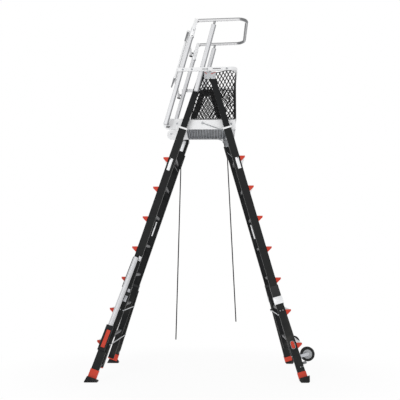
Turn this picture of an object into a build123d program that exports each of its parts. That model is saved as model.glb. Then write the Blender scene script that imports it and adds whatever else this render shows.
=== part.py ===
"""Telescoping A-frame ladder with a guarded work platform, at its lowest height.

Millimetres, +Z up, X from the climbing side (-X) to the wheels (+X), near side at -Y.
The origin is on the floor in the middle of the ladder's footprint. Each rail set is drawn in its
own frame: x outward from the fold pin, y across the ladder, z up along the rail.
"""

from build123d import *
from collections import namedtuple
from math import cos, radians, sin, tan
import os

os.makedirs("parts", exist_ok=True)

# rails and fold
hinge_height = 2915.0
front_lean = 18.7
rear_lean = 15.7
rail_width = 72.0
rail_wall = 6.0
rail_outer_y = 320.0
rail_lip_y = 274.0
rail_gap = 13.0
fly_clearance = 0.5
fly_outer_y = 313.0
fly_inner_y = 276.0
fly_wall = 4.0
fly_top = -32.0
front_fly_end_height = 92.0
rear_fly_end_height = 205.0
front_rail_top = -578.0
rear_rail_top = -562.0
bend_height = 822.0
corner_radius = 5.0

# fold hinge
pin_radius = 7.0
pin_clearance = 0.08
knuckle_radius = 24.0
hinge_slack = 3.0
leaf_split_y = 294.0
leaf_clearance = 0.4
cover_thickness = 3.0
cover_length = 118.0
cover_height = 62.0

# flared legs and bend knuckles
leg_depth = 40.0
leg_wall = 4.0
front_flare = 16.0
rear_flare = 18.0
leg_start = 10.0
front_leg_end_height = 120.0
rear_leg_end_height = 24.0
knuckle_wall = 4.0
knuckle_up = 28.0
knuckle_down = 84.0
collar_height = 16.0
collar_wall = 7.0

# treads
tread_pitch = 304.8
tread_count = 7
front_first_tread = 350.0
rear_first_tread = 334.0
tread_reach = 48.0
tread_drop = 46.0
tread_nose = 9.0
tread_wall = 3.0
cap_thickness = 9.0
cap_margin = 3.0
tie_radius = 5.0
tie_head_radius = 6.2
tie_head_thickness = 6.0
front_tie_heights = (615.0, 310.0)
rear_tie_heights = (578.0,)
tie_inset = -6.5
tie_lug = 12.0
tie_lug_root = 1.5

# inner rungs
rung_depth = 30.0
rung_height = 26.0
rung_wall = 3.0
rung_top = -870.0
rung_end_margin = 25.0

# platform
deck_drop = 534.0
deck_bottom = hinge_height - deck_drop
deck_thickness = 28.0
deck_skin = 5.0
deck_rib = 5.0
deck_rib_pitch = 17.0
plate_front = -433.0
plate_rear = 285.0
plate_height = 109.0
plate_thickness = 6.0
plate_outer_y = 240.0
deck_front_inset = 222.0
deck_rear_inset = 80.0
toe_board_thickness = 6.0
bolt_radius = 12.0
plate_bolt_rises = (31.0, 81.0)
net_hook_drop = 60.0

# cage
cage_y = 328.0
tube_depth = 30.0
post_lean = 15.57
post_width = 42.0
post_foot_x = -394.0
post_foot_rise = 57.0
post_foot_z = deck_bottom + post_foot_rise
post_below = 30.0
post_spacer_radius = 16.0
upright_lean = 14.6
upright_width = 46.0
upright_foot_x = -105.0
upright_foot_drop = 173.0
upright_foot_z = hinge_height - upright_foot_drop
cage_wall = 3.0
neck_radius = 11.0
top_rail_radius = 16.0
top_rail_wall = 3.0
cage_height = 1087.0
top_rail_height = deck_bottom + cage_height
post_top_drop = 72.0
upright_top_drop = 44.0
top_rail_rise = 13.0
top_rail_back = 403.0
top_rail_corner = 90.0
top_rail_elbow = 44.0
mid_rail_above_pin = 39.0
mid_rail_height = hinge_height + mid_rail_above_pin
mid_rail_rise = 11.0
mid_rail_tall = 34.0
mid_rail_thick = 16.0
mid_rail_front = -285.0
mid_rail_back = 296.0
mid_rail_corner = 60.0

# nets
net_thickness = 3.0
net_gap = 0.3
net_lap = 12.0
net_mesh_wide = 46.0
net_mesh_tall = 50.0
net_strand = 4.0
net_hem = 7.0
net_front_low = -165.0
net_front_high = -34.0
net_top_below_rail = 0.3
smallest_gap = 40.0

# gate
gate_bar_radius = 14.0
gate_low_drop = 43.0
gate_low_height = hinge_height - gate_low_drop
gate_high_drop = 50.0
gate_offset = 45.0
gate_end_y = 318.0
gate_stile_radius = 12.0
gate_stile_y = 284.0
gate_pin_radius = 5.0
gate_pin_clearance = 0.08
gate_eye_radius = 15.5
gate_eye_height = 30.0
gate_bracket_thickness = 8.0
gate_bracket_width = 26.0
gate_eye_slack = 0.4
latch_length = 104.0
latch_width = 20.0
latch_thickness = 10.0
latch_gap = 0.4
latch_pin_radius = 5.0

# stay hooks and their pins
hook_radius = 4.0
hook_pivot_x = -43.0
hook_rise = 63.0
hook_pivot_z = deck_bottom + hook_rise
hook_head_radius = 11.0
hook_gap = 0.5
hook_pin_radius = 6.0
stay_pin_x = 188.0
stay_pin_drop = 37.0
stay_pin_z = deck_bottom - stay_pin_drop
stay_pin_end_y = 240.5
hook_tail = 24.0
hook_head_thickness = 10.0
stay_plate = 5.0
stay_plate_x = 43.0
stay_plate_z = -602.0
stay_plate_wide = 46.0
stay_plate_tall = 80.0

# levelers on the front legs
leveler_x = 61.0
leveler_above_bend = 290.0
leveler_top_height = bend_height + leveler_above_bend
leveler_y = 346.0
leveler_splay = 12.0
leveler_tube_radius = 23.0
leveler_tube_wall = 4.0
leveler_tube_length = 676.0
shaft_radius = 18.0
shaft_clearance = 0.5
shaft_start = 380.0
leveler_leg_x = 48.0
leveler_leg_depth = 40.0
leveler_leg_cap = 6.0
leveler_leg_gap = 1.0
leveler_leg_end_height = 22.0
housing_length = 240.0
housing_width = 66.0
housing_depth = 56.0
saddle_width = 34.0
saddle_length = 46.0
saddle_places = (18.0, 330.0, 800.0)
foot_collar_wall = 3.5
foot_collar_height = 73.0
foot_neck_height = 35.0
foot_lip = 9.0
foot_toe = 52.0
foot_heel = 65.0
foot_width = 74.0
handle_length = 156.0
handle_width = 34.0
handle_thickness = 12.0
handle_gap = 0.5
handle_shift = -7.0
handle_pivot = 50.0
handle_pin_radius = 4.0
handle_ear = 6.0

# rear feet, buttons and wheels
rear_foot_length = 86.0
rear_foot_width = 72.0
rear_foot_chamfer = 10.0
rear_foot_neck_height = 36.0
rear_collar_height = 52.0
button_place = 560.0
button_width = 30.0
button_length = 66.0
button_proud = 5.0
button_clearance = 0.4
button_depth = 16.0
button_frame = 8.0
button_frame_proud = 5.0
wheel_radius = 65.0
wheel_width = 30.0
wheel_hub_radius = 40.0
wheel_bore = 6.06
axle_radius = 6.0
wheel_x = 152.0
wheel_height = 237.49
wheel_gap = 1.0
fork_thickness = 5.0
fork_height = 56.0

# height locks and pull cords
lock_x = 6.5
lock_y = 292.0
lock_pin_radius = 5.0
lock_pin_clearance = 0.08
lock_width = 14.0
lock_thickness = 9.0
lock_length = 128.0
front_lock_z = -752.0
rear_lock_z = -640.0
lock_eye_radius = 5.3
cord_radius = 5.0
cord_eye_drop = 24.0
cord_gap = 0.3
front_cord_drop = (-44.0, 1780.0)
rear_cord_drop = (78.0, 1690.0)
cord_bow = 12.0


def label_and_write(part: BuildPart, name: str) -> None:
    """Names a finished piece and writes it to its own file."""
    part.part.label = name
    export_step(part.part, f"parts/{name}.step")


# frames of the two rail sets, both hung from the fold pin
rail_outer_x = rail_gap + rail_width
rail_mid_x = rail_gap + rail_width / 2
rail_mid_y = (rail_outer_y + rail_lip_y) / 2
fly_inner_x = rail_gap + rail_wall + fly_clearance
fly_outer_x = rail_outer_x - rail_wall - fly_clearance
front_sin, front_cos = sin(radians(front_lean)), cos(radians(front_lean))
rear_sin, rear_cos = sin(radians(rear_lean)), cos(radians(rear_lean))


def along_rail(height: float, x: float, lean: float) -> float:
    """Place along a leaning rail, at x outward from the fold pin, that lies at a height."""
    return (height - hinge_height - x * sin(radians(lean))) / cos(radians(lean))


# the fold pin stands where the footprint's middle comes out at X 0
wheel_z = along_rail(wheel_height, wheel_x, rear_lean)
leveler_floor_z = along_rail(0, leveler_leg_x, front_lean)
front_reach = leveler_leg_x * front_cos - leveler_floor_z * front_sin + foot_toe
rear_reach = wheel_x * rear_cos - wheel_z * rear_sin + wheel_radius
hinge_x = (front_reach - rear_reach) / 2
pin = (hinge_x, 0, hinge_height)

front_frame = Plane(origin=pin, x_dir=(-front_cos, 0, front_sin), z_dir=(front_sin, 0, front_cos))
rear_frame = Plane(origin=pin, x_dir=(rear_cos, 0, rear_sin), z_dir=(-rear_sin, 0, rear_cos))
front_side = Plane(origin=pin, x_dir=(-front_cos, 0, front_sin), z_dir=(0, 1, 0))
rear_side = Plane(origin=pin, x_dir=(rear_cos, 0, rear_sin), z_dir=(0, -1, 0))
elevation = Plane(origin=(hinge_x, 0, 0), x_dir=(1, 0, 0), z_dir=(0, -1, 0))

RailSet = namedtuple(
    "RailSet", "name frame side lean top bend flare leg_end first_tread ties away fly_end"
)
rail_sets = (
    RailSet("front", front_frame, front_side, front_lean, front_rail_top,
            along_rail(bend_height, rail_mid_x, front_lean), front_flare, front_leg_end_height,
            front_first_tread, front_tie_heights, -1,
            along_rail(front_fly_end_height, rail_mid_x, front_lean)),
    RailSet("rear", rear_frame, rear_side, rear_lean, rear_rail_top,
            along_rail(bend_height, rail_mid_x, rear_lean), rear_flare, rear_leg_end_height,
            rear_first_tread, rear_tie_heights, 1,
            along_rail(rear_fly_end_height, rail_mid_x, rear_lean)),
)


def leg_frame(rails: RailSet) -> Plane:
    """Frame at the bend of the leg on the frame's +y side, z up along the flared leg."""
    start = rails.frame.from_local_coords((rail_mid_x, rail_mid_y, rails.bend))
    up = rails.frame.from_local_coords((0, -sin(radians(rails.flare)), cos(radians(rails.flare))))
    return Plane(origin=start, x_dir=rails.frame.x_dir, z_dir=up - Vector(*pin))


def leg_end(rails: RailSet) -> float:
    """Length of the leg from the bend to where its middle reaches its end height."""
    drop = cos(radians(rails.lean)) * cos(radians(rails.flare))
    return (bend_height - rails.leg_end) / drop


def leg_mid_y(rails: RailSet, height: float) -> float:
    """Distance of the rail's or leg's middle from the ladder's middle plane at a height."""
    drop = max(0.0, bend_height - height) / cos(radians(rails.lean))
    return rail_mid_y + drop * tan(radians(rails.flare))


def outer_edge_x(rails: RailSet, height: float) -> float:
    """X, from the fold pin, of the rail's outer edge at a height."""
    z = along_rail(height, rail_outer_x, rails.lean)
    return rails.away * (rail_outer_x * cos(radians(rails.lean)) - z * sin(radians(rails.lean)))


def tread_outline(rails: RailSet, height: float, margin: float) -> list:
    """Corners of a tread's section: its back lies on the rail, its top is level."""
    high, low = height + margin, height - tread_drop - margin
    nose_x = outer_edge_x(rails, height) + rails.away * (tread_reach + margin)
    return [(outer_edge_x(rails, high), high), (nose_x, high),
            (nose_x, height - tread_nose - margin), (outer_edge_x(rails, low), low)]


def tie_frame(rails: RailSet, height: float) -> Plane:
    """Section of a tie rod on the ladder's middle plane, x outward, z across the ladder."""
    x = rail_gap + tie_inset
    at = rails.frame.from_local_coords((x, 0, along_rail(height, x, rails.lean)))
    return Plane(origin=at, x_dir=rails.frame.x_dir, z_dir=rails.frame.y_dir)


def fly_passage(rails: RailSet) -> Sketch:
    """Section, at the bend, of the way that the fly rail takes straight on past it."""
    low, high = rail_lip_y - leg_depth, fly_outer_y + fly_clearance
    with BuildSketch(rails.frame.offset(rails.bend)) as passage:
        with Locations((rail_mid_x, (low + high) / 2)):
            Rectangle(rail_width - 2 * rail_wall, high - low)
    return passage.sketch


# outer rails, legs, knuckles, collars, treads and ties of both bases
for rails in rail_sets:
    with BuildPart() as outer_rails:
        with BuildSketch(rails.frame.offset(rails.bend)):
            with Locations((rail_mid_x, rail_mid_y)):
                Rectangle(rail_width, rail_outer_y - rail_lip_y)
            with Locations((rail_mid_x, (rail_lip_y + rail_outer_y - rail_wall) / 2)):
                Rectangle(rail_width - 2 * rail_wall, rail_outer_y - rail_wall - rail_lip_y,
                          mode=Mode.SUBTRACT)
        extrude(amount=rails.top - rails.bend)
        lock_z = front_lock_z if rails.name == "front" else rear_lock_z
        long_edges = outer_rails.edges().filter_by(Axis((0, 0, 0), rails.frame.z_dir))
        outer_corners = [e for e in long_edges if abs(e.center().Y) > rail_outer_y - 1]
        fillet(outer_corners, radius=corner_radius)
        mirror(about=Plane.XZ)
        # pivot pin of the height lock, on the far rail's inner edge
        far_y = -lock_y if rails.name == "front" else lock_y
        with BuildSketch(Plane(origin=rails.frame.from_local_coords((rail_gap, far_y, lock_z)),
                               z_dir=-rails.frame.x_dir)):
            Circle(lock_pin_radius)
        extrude(amount=rail_gap - lock_x + lock_thickness / 2)
    label_and_write(outer_rails, f"{rails.name}_outer_rails")

    leg_plane = leg_frame(rails)
    leg_length = leg_end(rails)
    with BuildPart() as legs:
        with BuildSketch(leg_plane.offset(-leg_start)):
            RectangleRounded(rail_width, leg_depth, corner_radius)
            Rectangle(rail_width - 2 * leg_wall, leg_depth - 2 * leg_wall, mode=Mode.SUBTRACT)
        extrude(amount=leg_start - leg_length)
        if rails.name == "rear":
            # raised oval frame and its hole for the leg's release button
            button_plane = Plane(
                origin=leg_plane.from_local_coords((0, leg_depth / 2, -button_place)),
                x_dir=leg_plane.z_dir, z_dir=leg_plane.y_dir)
            with BuildSketch(button_plane):
                SlotOverall(button_length + 2 * button_frame, button_width + 2 * button_frame)
            extrude(amount=button_frame_proud)
            with BuildSketch(button_plane.offset(button_frame_proud)):
                SlotOverall(button_length, button_width)
            extrude(amount=-button_frame_proud - leg_wall, mode=Mode.SUBTRACT)
        extrude(fly_passage(rails), amount=rails.fly_end - rails.bend, mode=Mode.SUBTRACT)
        for height in rails.ties:
            # lug on the leg's inner edge that holds a tie rod
            lug_plane = tie_frame(rails, height).offset(leg_mid_y(rails, height) - tie_lug)
            with BuildSketch(lug_plane):
                with Locations(((tie_lug_root - tie_inset - tie_head_radius) / 2, 0)):
                    Rectangle(tie_lug_root - tie_inset + tie_head_radius, 2 * tie_lug)
            extrude(amount=2 * tie_lug)
            with BuildSketch(lug_plane):
                Circle(tie_radius)
            extrude(amount=2 * tie_lug, mode=Mode.SUBTRACT)
        mirror(about=Plane.XZ)
    label_and_write(legs, f"{rails.name}_legs")

    with BuildPart() as bands:
        with BuildSketch(rails.frame.offset(rails.bend - knuckle_wall)):
            with Locations((rail_mid_x, rail_mid_y)):
                RectangleRounded(rail_width + 2 * knuckle_wall,
                                 rail_outer_y - rail_lip_y + 2 * knuckle_wall, corner_radius)
        extrude(amount=knuckle_up)
        with BuildSketch(leg_plane):
            RectangleRounded(rail_width + 2 * knuckle_wall, leg_depth + 2 * knuckle_wall,
                             corner_radius)
        extrude(amount=-knuckle_down)
        with BuildSketch(rails.frame.offset(rails.bend)):
            with Locations((rail_mid_x, rail_mid_y)):
                Rectangle(rail_width, rail_outer_y - rail_lip_y)
        extrude(amount=2 * knuckle_up, mode=Mode.SUBTRACT)
        with BuildSketch(leg_plane.offset(-leg_start)):
            Rectangle(rail_width, leg_depth)
        extrude(amount=-2 * knuckle_down, mode=Mode.SUBTRACT)
        extrude(fly_passage(rails), amount=rails.fly_end - rails.bend, mode=Mode.SUBTRACT)
        # collar round the rail's top, open towards the fly rail
        with BuildSketch(rails.frame.offset(rails.top - collar_height)):
            with Locations((rail_mid_x, rail_mid_y + collar_wall / 2)):
                RectangleRounded(rail_width + 2 * collar_wall,
                                 rail_outer_y - rail_lip_y + collar_wall, corner_radius)
            with Locations((rail_mid_x, rail_mid_y)):
                Rectangle(rail_width, rail_outer_y - rail_lip_y, mode=Mode.SUBTRACT)
        extrude(amount=collar_height)
        mirror(about=Plane.XZ)
    label_and_write(bands, f"{rails.name}_rail_bands")

    heights = [rails.first_tread + i * tread_pitch * cos(radians(rails.lean))
               for i in range(tread_count)]
    with BuildPart() as treads:
        for height in heights:
            half = leg_mid_y(rails, height) + rail_outer_y - rail_mid_y
            with BuildSketch(elevation):
                with BuildLine():
                    Polyline(*tread_outline(rails, height, 0), close=True)
                make_face()
                offset(amount=-tread_wall, mode=Mode.SUBTRACT)
            extrude(amount=half, both=True)
    label_and_write(treads, f"{rails.name}_treads")

    with BuildPart() as tread_caps:
        for height in heights:
            half = leg_mid_y(rails, height) + rail_outer_y - rail_mid_y
            with BuildSketch(elevation.offset(half)):
                with BuildLine():
                    Polyline(*tread_outline(rails, height, cap_margin), close=True)
                make_face()
            extrude(amount=cap_thickness)
        mirror(about=Plane.XZ)
    label_and_write(tread_caps, f"{rails.name}_tread_caps")

    with BuildPart() as ties:
        for height in rails.ties:
            half = leg_mid_y(rails, height) + tie_lug
            tie_plane = tie_frame(rails, height)
            with BuildSketch(tie_plane):
                Circle(tie_radius)
            extrude(amount=half, both=True)
            with BuildSketch(tie_plane.offset(half)):
                Circle(tie_head_radius)
            extrude(amount=tie_head_thickness)
            with BuildSketch(tie_plane.offset(-half)):
                Circle(tie_head_radius)
            extrude(amount=-tie_head_thickness)
    label_and_write(ties, f"{rails.name}_tie_rods")

    # fly rails and the rungs that join them
    with BuildPart() as fly_rails:
        with BuildSketch(rails.frame.offset(fly_top)):
            with Locations(((fly_inner_x + fly_outer_x) / 2, (fly_inner_y + fly_outer_y) / 2)):
                RectangleRounded(fly_outer_x - fly_inner_x, fly_outer_y - fly_inner_y, corner_radius)
                Rectangle(fly_outer_x - fly_inner_x - 2 * fly_wall,
                          fly_outer_y - fly_inner_y - 2 * fly_wall, mode=Mode.SUBTRACT)
        extrude(amount=rails.fly_end - fly_top)
        mirror(about=Plane.XZ)
    label_and_write(fly_rails, f"{rails.name}_fly_rails")

    rung_count = int((rung_top - rails.fly_end - rung_end_margin) // tread_pitch) + 1
    with BuildPart() as rungs:
        for i in range(rung_count):
            with BuildSketch(rails.side):
                with Locations(((fly_inner_x + fly_outer_x) / 2, rung_top - i * tread_pitch)):
                    RectangleRounded(rung_depth, rung_height, corner_radius)
                    Rectangle(rung_depth - 2 * rung_wall, rung_height - 2 * rung_wall,
                              mode=Mode.SUBTRACT)
            extrude(amount=fly_inner_y, both=True)
    label_and_write(rungs, f"{rails.name}_fly_rungs")

    # hinge castings: the front one has the outer leaf and the pin, the rear one the inner leaf
    is_front = rails.name == "front"
    leaf_low = leaf_split_y + leaf_clearance if is_front else fly_inner_y
    leaf_high = fly_outer_y if is_front else leaf_split_y
    base_x = knuckle_radius + hinge_slack
    with BuildPart() as castings:
        with BuildSketch(rails.side.offset(fly_inner_y)):
            with BuildLine():
                Polyline((base_x, fly_top), (fly_outer_x, fly_top), (fly_outer_x, fly_top / 2),
                         (base_x + knuckle_radius, knuckle_radius), (base_x, knuckle_radius),
                         close=True)
            make_face()
        extrude(amount=fly_outer_y - fly_inner_y)
        with BuildSketch(rails.side.offset(leaf_low)):
            Circle(knuckle_radius)
            with Locations((base_x / 2, 0)):
                Rectangle(base_x, 2 * knuckle_radius)
        extrude(amount=leaf_high - leaf_low)
        if is_front:
            with BuildSketch(rails.side.offset(fly_inner_y)):
                Circle(pin_radius)
            extrude(amount=fly_outer_y - fly_inner_y)
        else:
            with BuildSketch(rails.side.offset(fly_inner_y)):
                Circle(pin_radius + pin_clearance)
            extrude(amount=fly_outer_y - fly_inner_y, mode=Mode.SUBTRACT)
        mirror(about=Plane.XZ)
    label_and_write(castings, f"{rails.name}_hinge_castings")

# light covers over the hinge, lobed below, on the front rails' outer faces
with BuildPart() as hinge_covers:
    with BuildSketch(elevation.offset(fly_outer_y)):
        left = upright_foot_x + upright_width / 2 / cos(radians(upright_lean)) + 1
        left += (hinge_height + cover_height / 2 - upright_foot_z) * tan(radians(upright_lean))
        with Locations((left + cover_length / 2, hinge_height)):
            RectangleRounded(cover_length, cover_height, corner_radius)
        for place in (1 / 4, 3 / 4):
            with Locations((left + cover_length * place, hinge_height - cover_height / 2)):
                Circle(cover_length / 5)
        with Locations((left + cover_length / 2, hinge_height - cover_height)):
            Rectangle(2 * cover_length, cover_height - cover_length / 5, mode=Mode.SUBTRACT)
    extrude(amount=cover_thickness)
    mirror(about=Plane.XZ)
label_and_write(hinge_covers, "hinge_covers")

# platform
deck_inner_y = plate_outer_y - plate_thickness
deck_front = plate_front + deck_front_inset
deck_rear = plate_rear - deck_rear_inset
deck_length = deck_rear - deck_front
with BuildPart() as deck:
    with BuildSketch(Plane.XY.offset(deck_bottom + deck_thickness)):
        with Locations((hinge_x + (deck_front + deck_rear) / 2, 0)):
            Rectangle(deck_length, 2 * deck_inner_y)
    extrude(amount=-deck_skin)
    rib_count = int(deck_length // deck_rib_pitch)
    with BuildSketch(Plane.XY.offset(deck_bottom)):
        with Locations((hinge_x + (deck_front + deck_rear) / 2, 0)):
            with GridLocations(deck_rib_pitch, 1, rib_count, 1):
                Rectangle(deck_rib, 2 * deck_inner_y)
    extrude(amount=deck_thickness - deck_skin)
label_and_write(deck, "deck")

plate_mid_z = deck_bottom + plate_height / 2
with BuildPart() as toe_boards:
    with BuildSketch(elevation.offset(deck_inner_y)):
        with Locations(((plate_front + plate_height / 2 + plate_rear) / 2, plate_mid_z)):
            Rectangle(plate_rear - plate_front - plate_height / 2, plate_height)
        with Locations((plate_front + plate_height / 2, plate_mid_z)):
            Circle(plate_height / 2)
    extrude(amount=plate_thickness)
    mirror(about=Plane.XZ)
    # board across the back, above the deck
    with BuildSketch(Plane.XY.offset(deck_bottom)):
        with Locations((hinge_x + plate_rear - toe_board_thickness / 2, 0)):
            Rectangle(toe_board_thickness, 2 * deck_inner_y)
    extrude(amount=plate_height)
label_and_write(toe_boards, "toe_boards")

# spacers between the side plates and the rails and posts, and the hooks that hold the nets
hook_x = (fly_inner_x + fly_outer_x) / 2
with BuildPart() as platform_bolts:
    for rise in plate_bolt_rises:
        with BuildSketch(front_side.offset(plate_outer_y)):
            with Locations((hook_x, along_rail(deck_bottom + rise, hook_x, front_lean))):
                Circle(bolt_radius)
        extrude(amount=fly_inner_y - plate_outer_y)
    with BuildSketch(front_side.offset(plate_outer_y + net_gap + net_thickness)):
        with Locations((fly_inner_x + bolt_radius, fly_top - net_hook_drop)):
            Circle(bolt_radius / 2)
    extrude(amount=fly_inner_y - plate_outer_y - net_gap - net_thickness)
    with BuildSketch(elevation.offset(plate_outer_y)):
        with Locations((post_foot_x, post_foot_z)):
            Circle(post_spacer_radius)
    extrude(amount=cage_y - tube_depth / 2 - plate_outer_y)
    mirror(about=Plane.XZ)
label_and_write(platform_bolts, "platform_bolts")


def leaning_frame(x: float, z: float, lean: float, y: float) -> Plane:
    """Frame at a point of the elevation whose z runs up a leaning tube; y is across the ladder."""
    up = (sin(radians(lean)), 0, cos(radians(lean)))
    return Plane(origin=(hinge_x + x, y, z), x_dir=(cos(radians(lean)), 0, -sin(radians(lean))), z_dir=up)


# posts and uprights of the cage, which end below the top rail
post_top_height = top_rail_height - post_top_drop
upright_top_height = top_rail_height - upright_top_drop
post_frame = leaning_frame(post_foot_x, post_foot_z, post_lean, -cage_y)
post_length = (post_top_height - post_foot_z) / cos(radians(post_lean))
with BuildPart() as posts:
    with BuildSketch(post_frame.offset(-post_below)):
        RectangleRounded(post_width, tube_depth, corner_radius)
        Rectangle(post_width - 2 * cage_wall, tube_depth - 2 * cage_wall, mode=Mode.SUBTRACT)
    extrude(amount=post_below + post_length)
    with BuildSketch(post_frame.offset(post_length)):
        RectangleRounded(post_width, tube_depth, corner_radius)
    extrude(amount=-cage_wall)
    mirror(about=Plane.XZ)
label_and_write(posts, "posts")

upright_frame = leaning_frame(upright_foot_x, upright_foot_z, upright_lean, -cage_y)
upright_length = (upright_top_height - upright_foot_z) / cos(radians(upright_lean))
with BuildPart() as uprights:
    with BuildSketch(upright_frame):
        RectangleRounded(upright_width, tube_depth, corner_radius)
        Rectangle(upright_width - 2 * cage_wall, tube_depth - 2 * cage_wall, mode=Mode.SUBTRACT)
    extrude(amount=upright_length)
    with BuildSketch(upright_frame.offset(upright_length)):
        RectangleRounded(upright_width, tube_depth, corner_radius)
    extrude(amount=-cage_wall)
    mirror(about=Plane.XZ)
label_and_write(uprights, "uprights")

# top rail: rises out of the posts, runs back, crosses behind and returns
post_end = post_frame.from_local_coords((0, 0, post_length))
elbow_x = post_end.X + (top_rail_height - post_end.Z) * tan(radians(post_lean))
back_x = hinge_x + top_rail_back
back_z = top_rail_height + top_rail_rise
with BuildPart() as top_rail:
    with BuildLine() as top_path:
        FilletPolyline(
            (post_end.X, -cage_y, post_end.Z), (elbow_x, -cage_y, top_rail_height),
            (back_x, -cage_y, back_z), (back_x, cage_y, back_z),
            (elbow_x, cage_y, top_rail_height), (post_end.X, cage_y, post_end.Z),
            radius=[top_rail_elbow, top_rail_corner, top_rail_corner, top_rail_elbow])
    with BuildSketch(Plane(origin=post_end, z_dir=post_frame.z_dir)):
        Circle(top_rail_radius)
        Circle(top_rail_radius - top_rail_wall, mode=Mode.SUBTRACT)
    sweep(path=top_path.line)
    # necks that stand on the uprights and meet the rail from below
    upright_end = upright_frame.from_local_coords((0, 0, upright_length))
    rail_slope = top_rail_rise / (back_x - elbow_x)
    neck_top = top_rail_height + (upright_end.X - elbow_x) * rail_slope
    for side in (-1, 1):
        with BuildSketch(Plane(origin=(upright_end.X, side * cage_y, upright_end.Z),
                               z_dir=upright_frame.z_dir)):
            Circle(neck_radius)
        extrude(amount=(neck_top - upright_end.Z) / cos(radians(upright_lean)))
    # the rail stays hollow where a neck would reach into it
    with BuildSketch(Plane(origin=(elbow_x, -cage_y, top_rail_height),
                           z_dir=(back_x - elbow_x, 0, top_rail_rise))):
        Circle(top_rail_radius - top_rail_wall)
        with Locations((0, 2 * cage_y)):
            Circle(top_rail_radius - top_rail_wall)
    extrude(amount=(back_x - elbow_x) / 2, mode=Mode.SUBTRACT)
label_and_write(top_rail, "top_rail")

# mid rail: flat tube outside the posts and uprights, round the back
mid_y = cage_y + tube_depth / 2 + mid_rail_thick / 2
with BuildPart() as mid_rail:
    front_point = (hinge_x + mid_rail_front, mid_y, mid_rail_height)
    back_point = (hinge_x + mid_rail_back, mid_y, mid_rail_height + mid_rail_rise)
    with BuildLine() as mid_path:
        FilletPolyline(
            (front_point[0], -mid_y, front_point[2]), (back_point[0], -mid_y, back_point[2]),
            (back_point[0], mid_y, back_point[2]), (front_point[0], mid_y, front_point[2]),
            radius=mid_rail_corner)
    run = Vector(mid_rail_back - mid_rail_front, 0, mid_rail_rise)
    with BuildSketch(Plane(origin=(front_point[0], -mid_y, front_point[2]), x_dir=(0, 1, 0), z_dir=run)):
        Rectangle(mid_rail_thick, mid_rail_tall)
    sweep(path=mid_path.line)
label_and_write(mid_rail, "mid_rail")


def mesh_gaps(outline: list, low: tuple, high: tuple) -> Sketch:
    """Diamond gaps of a net inside an outline, with a hem left round its edge."""
    across = int((high[0] - low[0]) // net_mesh_wide) + 2
    upward = int((high[1] - low[1]) // net_mesh_tall) + 2
    middle = ((low[0] + high[0]) / 2, (low[1] + high[1]) / 2)
    half_wide = net_mesh_wide / 2 - net_strand
    half_tall = net_mesh_tall / 2 - net_strand
    with BuildSketch() as gaps:
        for shift in (0, 0.5):
            with Locations((middle[0] + shift * net_mesh_wide, middle[1] + shift * net_mesh_tall)):
                with GridLocations(net_mesh_wide, net_mesh_tall, across, upward):
                    Polygon((half_wide, 0), (0, half_tall), (-half_wide, 0), (0, -half_tall),
                            align=None)
        with BuildSketch(mode=Mode.INTERSECT):
            with BuildLine():
                Polyline(*outline, close=True)
            make_face()
            offset(amount=-net_hem, mode=Mode.REPLACE)
    return Sketch([face for face in gaps.sketch.faces() if face.area > smallest_gap])


# nets: the side ones lap the side plates, the back one the toe board, and reach the mid rail
net_low = deck_bottom + plate_height - net_lap
mid_slope = mid_rail_rise / (mid_rail_back - mid_rail_front)
back_net_x = plate_rear + net_gap
mid_back_z = mid_rail_height + mid_rail_rise - mid_rail_tall / 2
net_high = mid_back_z - net_top_below_rail
side_outline = [(net_front_low, net_low), (back_net_x + net_thickness, net_low),
                (back_net_x + net_thickness, net_high), (net_front_high, net_high - net_hem)]
side_gaps = mesh_gaps(side_outline, (net_front_low, net_low), (back_net_x + net_thickness, net_high))
for side, name in ((-1, "net_near"), (1, "net_far")):
    with BuildPart() as net:
        inner = plate_outer_y + net_gap
        with BuildSketch(elevation.offset(inner if side < 0 else -inner - net_thickness)):
            with BuildLine():
                Polyline(*side_outline, close=True)
            make_face()
            add(side_gaps, mode=Mode.SUBTRACT)
        extrude(amount=net_thickness)
    label_and_write(net, name)

back_half = plate_outer_y
back_outline = [(-back_half, net_low), (back_half, net_low), (back_half, net_high), (-back_half, net_high)]
back_gaps = mesh_gaps(back_outline, (-back_half, net_low), (back_half, net_high))
with BuildPart() as net_back:
    with BuildSketch(Plane(origin=(hinge_x + back_net_x, 0, 0), x_dir=(0, 1, 0), z_dir=(1, 0, 0))):
        with BuildLine():
            Polyline(*back_outline, close=True)
        make_face()
        add(back_gaps, mode=Mode.SUBTRACT)
    extrude(amount=net_thickness)
label_and_write(net_back, "net_back")

# gate: two bars across the front of the posts, turning on brackets on the far post
gate_frame = leaning_frame(post_foot_x, post_foot_z, post_lean, cage_y)
gate_high_height = post_top_height - gate_high_drop
gate_places = [(h - post_foot_z) / cos(radians(post_lean)) for h in (gate_low_height, gate_high_height)]
gate_side = Plane(origin=gate_frame.origin, x_dir=gate_frame.x_dir, z_dir=(0, -1, 0))
with BuildPart() as gate_brackets:
    for place in gate_places:
        for end in (-1, 1):
            at = place + end * (gate_eye_height / 2 + gate_eye_slack)
            with BuildSketch(gate_frame.offset(at)):
                with Locations((-(gate_offset + post_width / 2) / 2, 0)):
                    Rectangle(gate_offset - post_width / 2, gate_bracket_width)
                with Locations((-gate_offset, 0)):
                    Circle(gate_bracket_width / 2)
            extrude(amount=end * gate_bracket_thickness)
        with BuildSketch(gate_frame.offset(place - gate_eye_height / 2 - gate_eye_slack)):
            with Locations((-gate_offset, 0)):
                Circle(gate_pin_radius)
        extrude(amount=gate_eye_height + 2 * gate_eye_slack)
label_and_write(gate_brackets, "gate_brackets")

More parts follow.
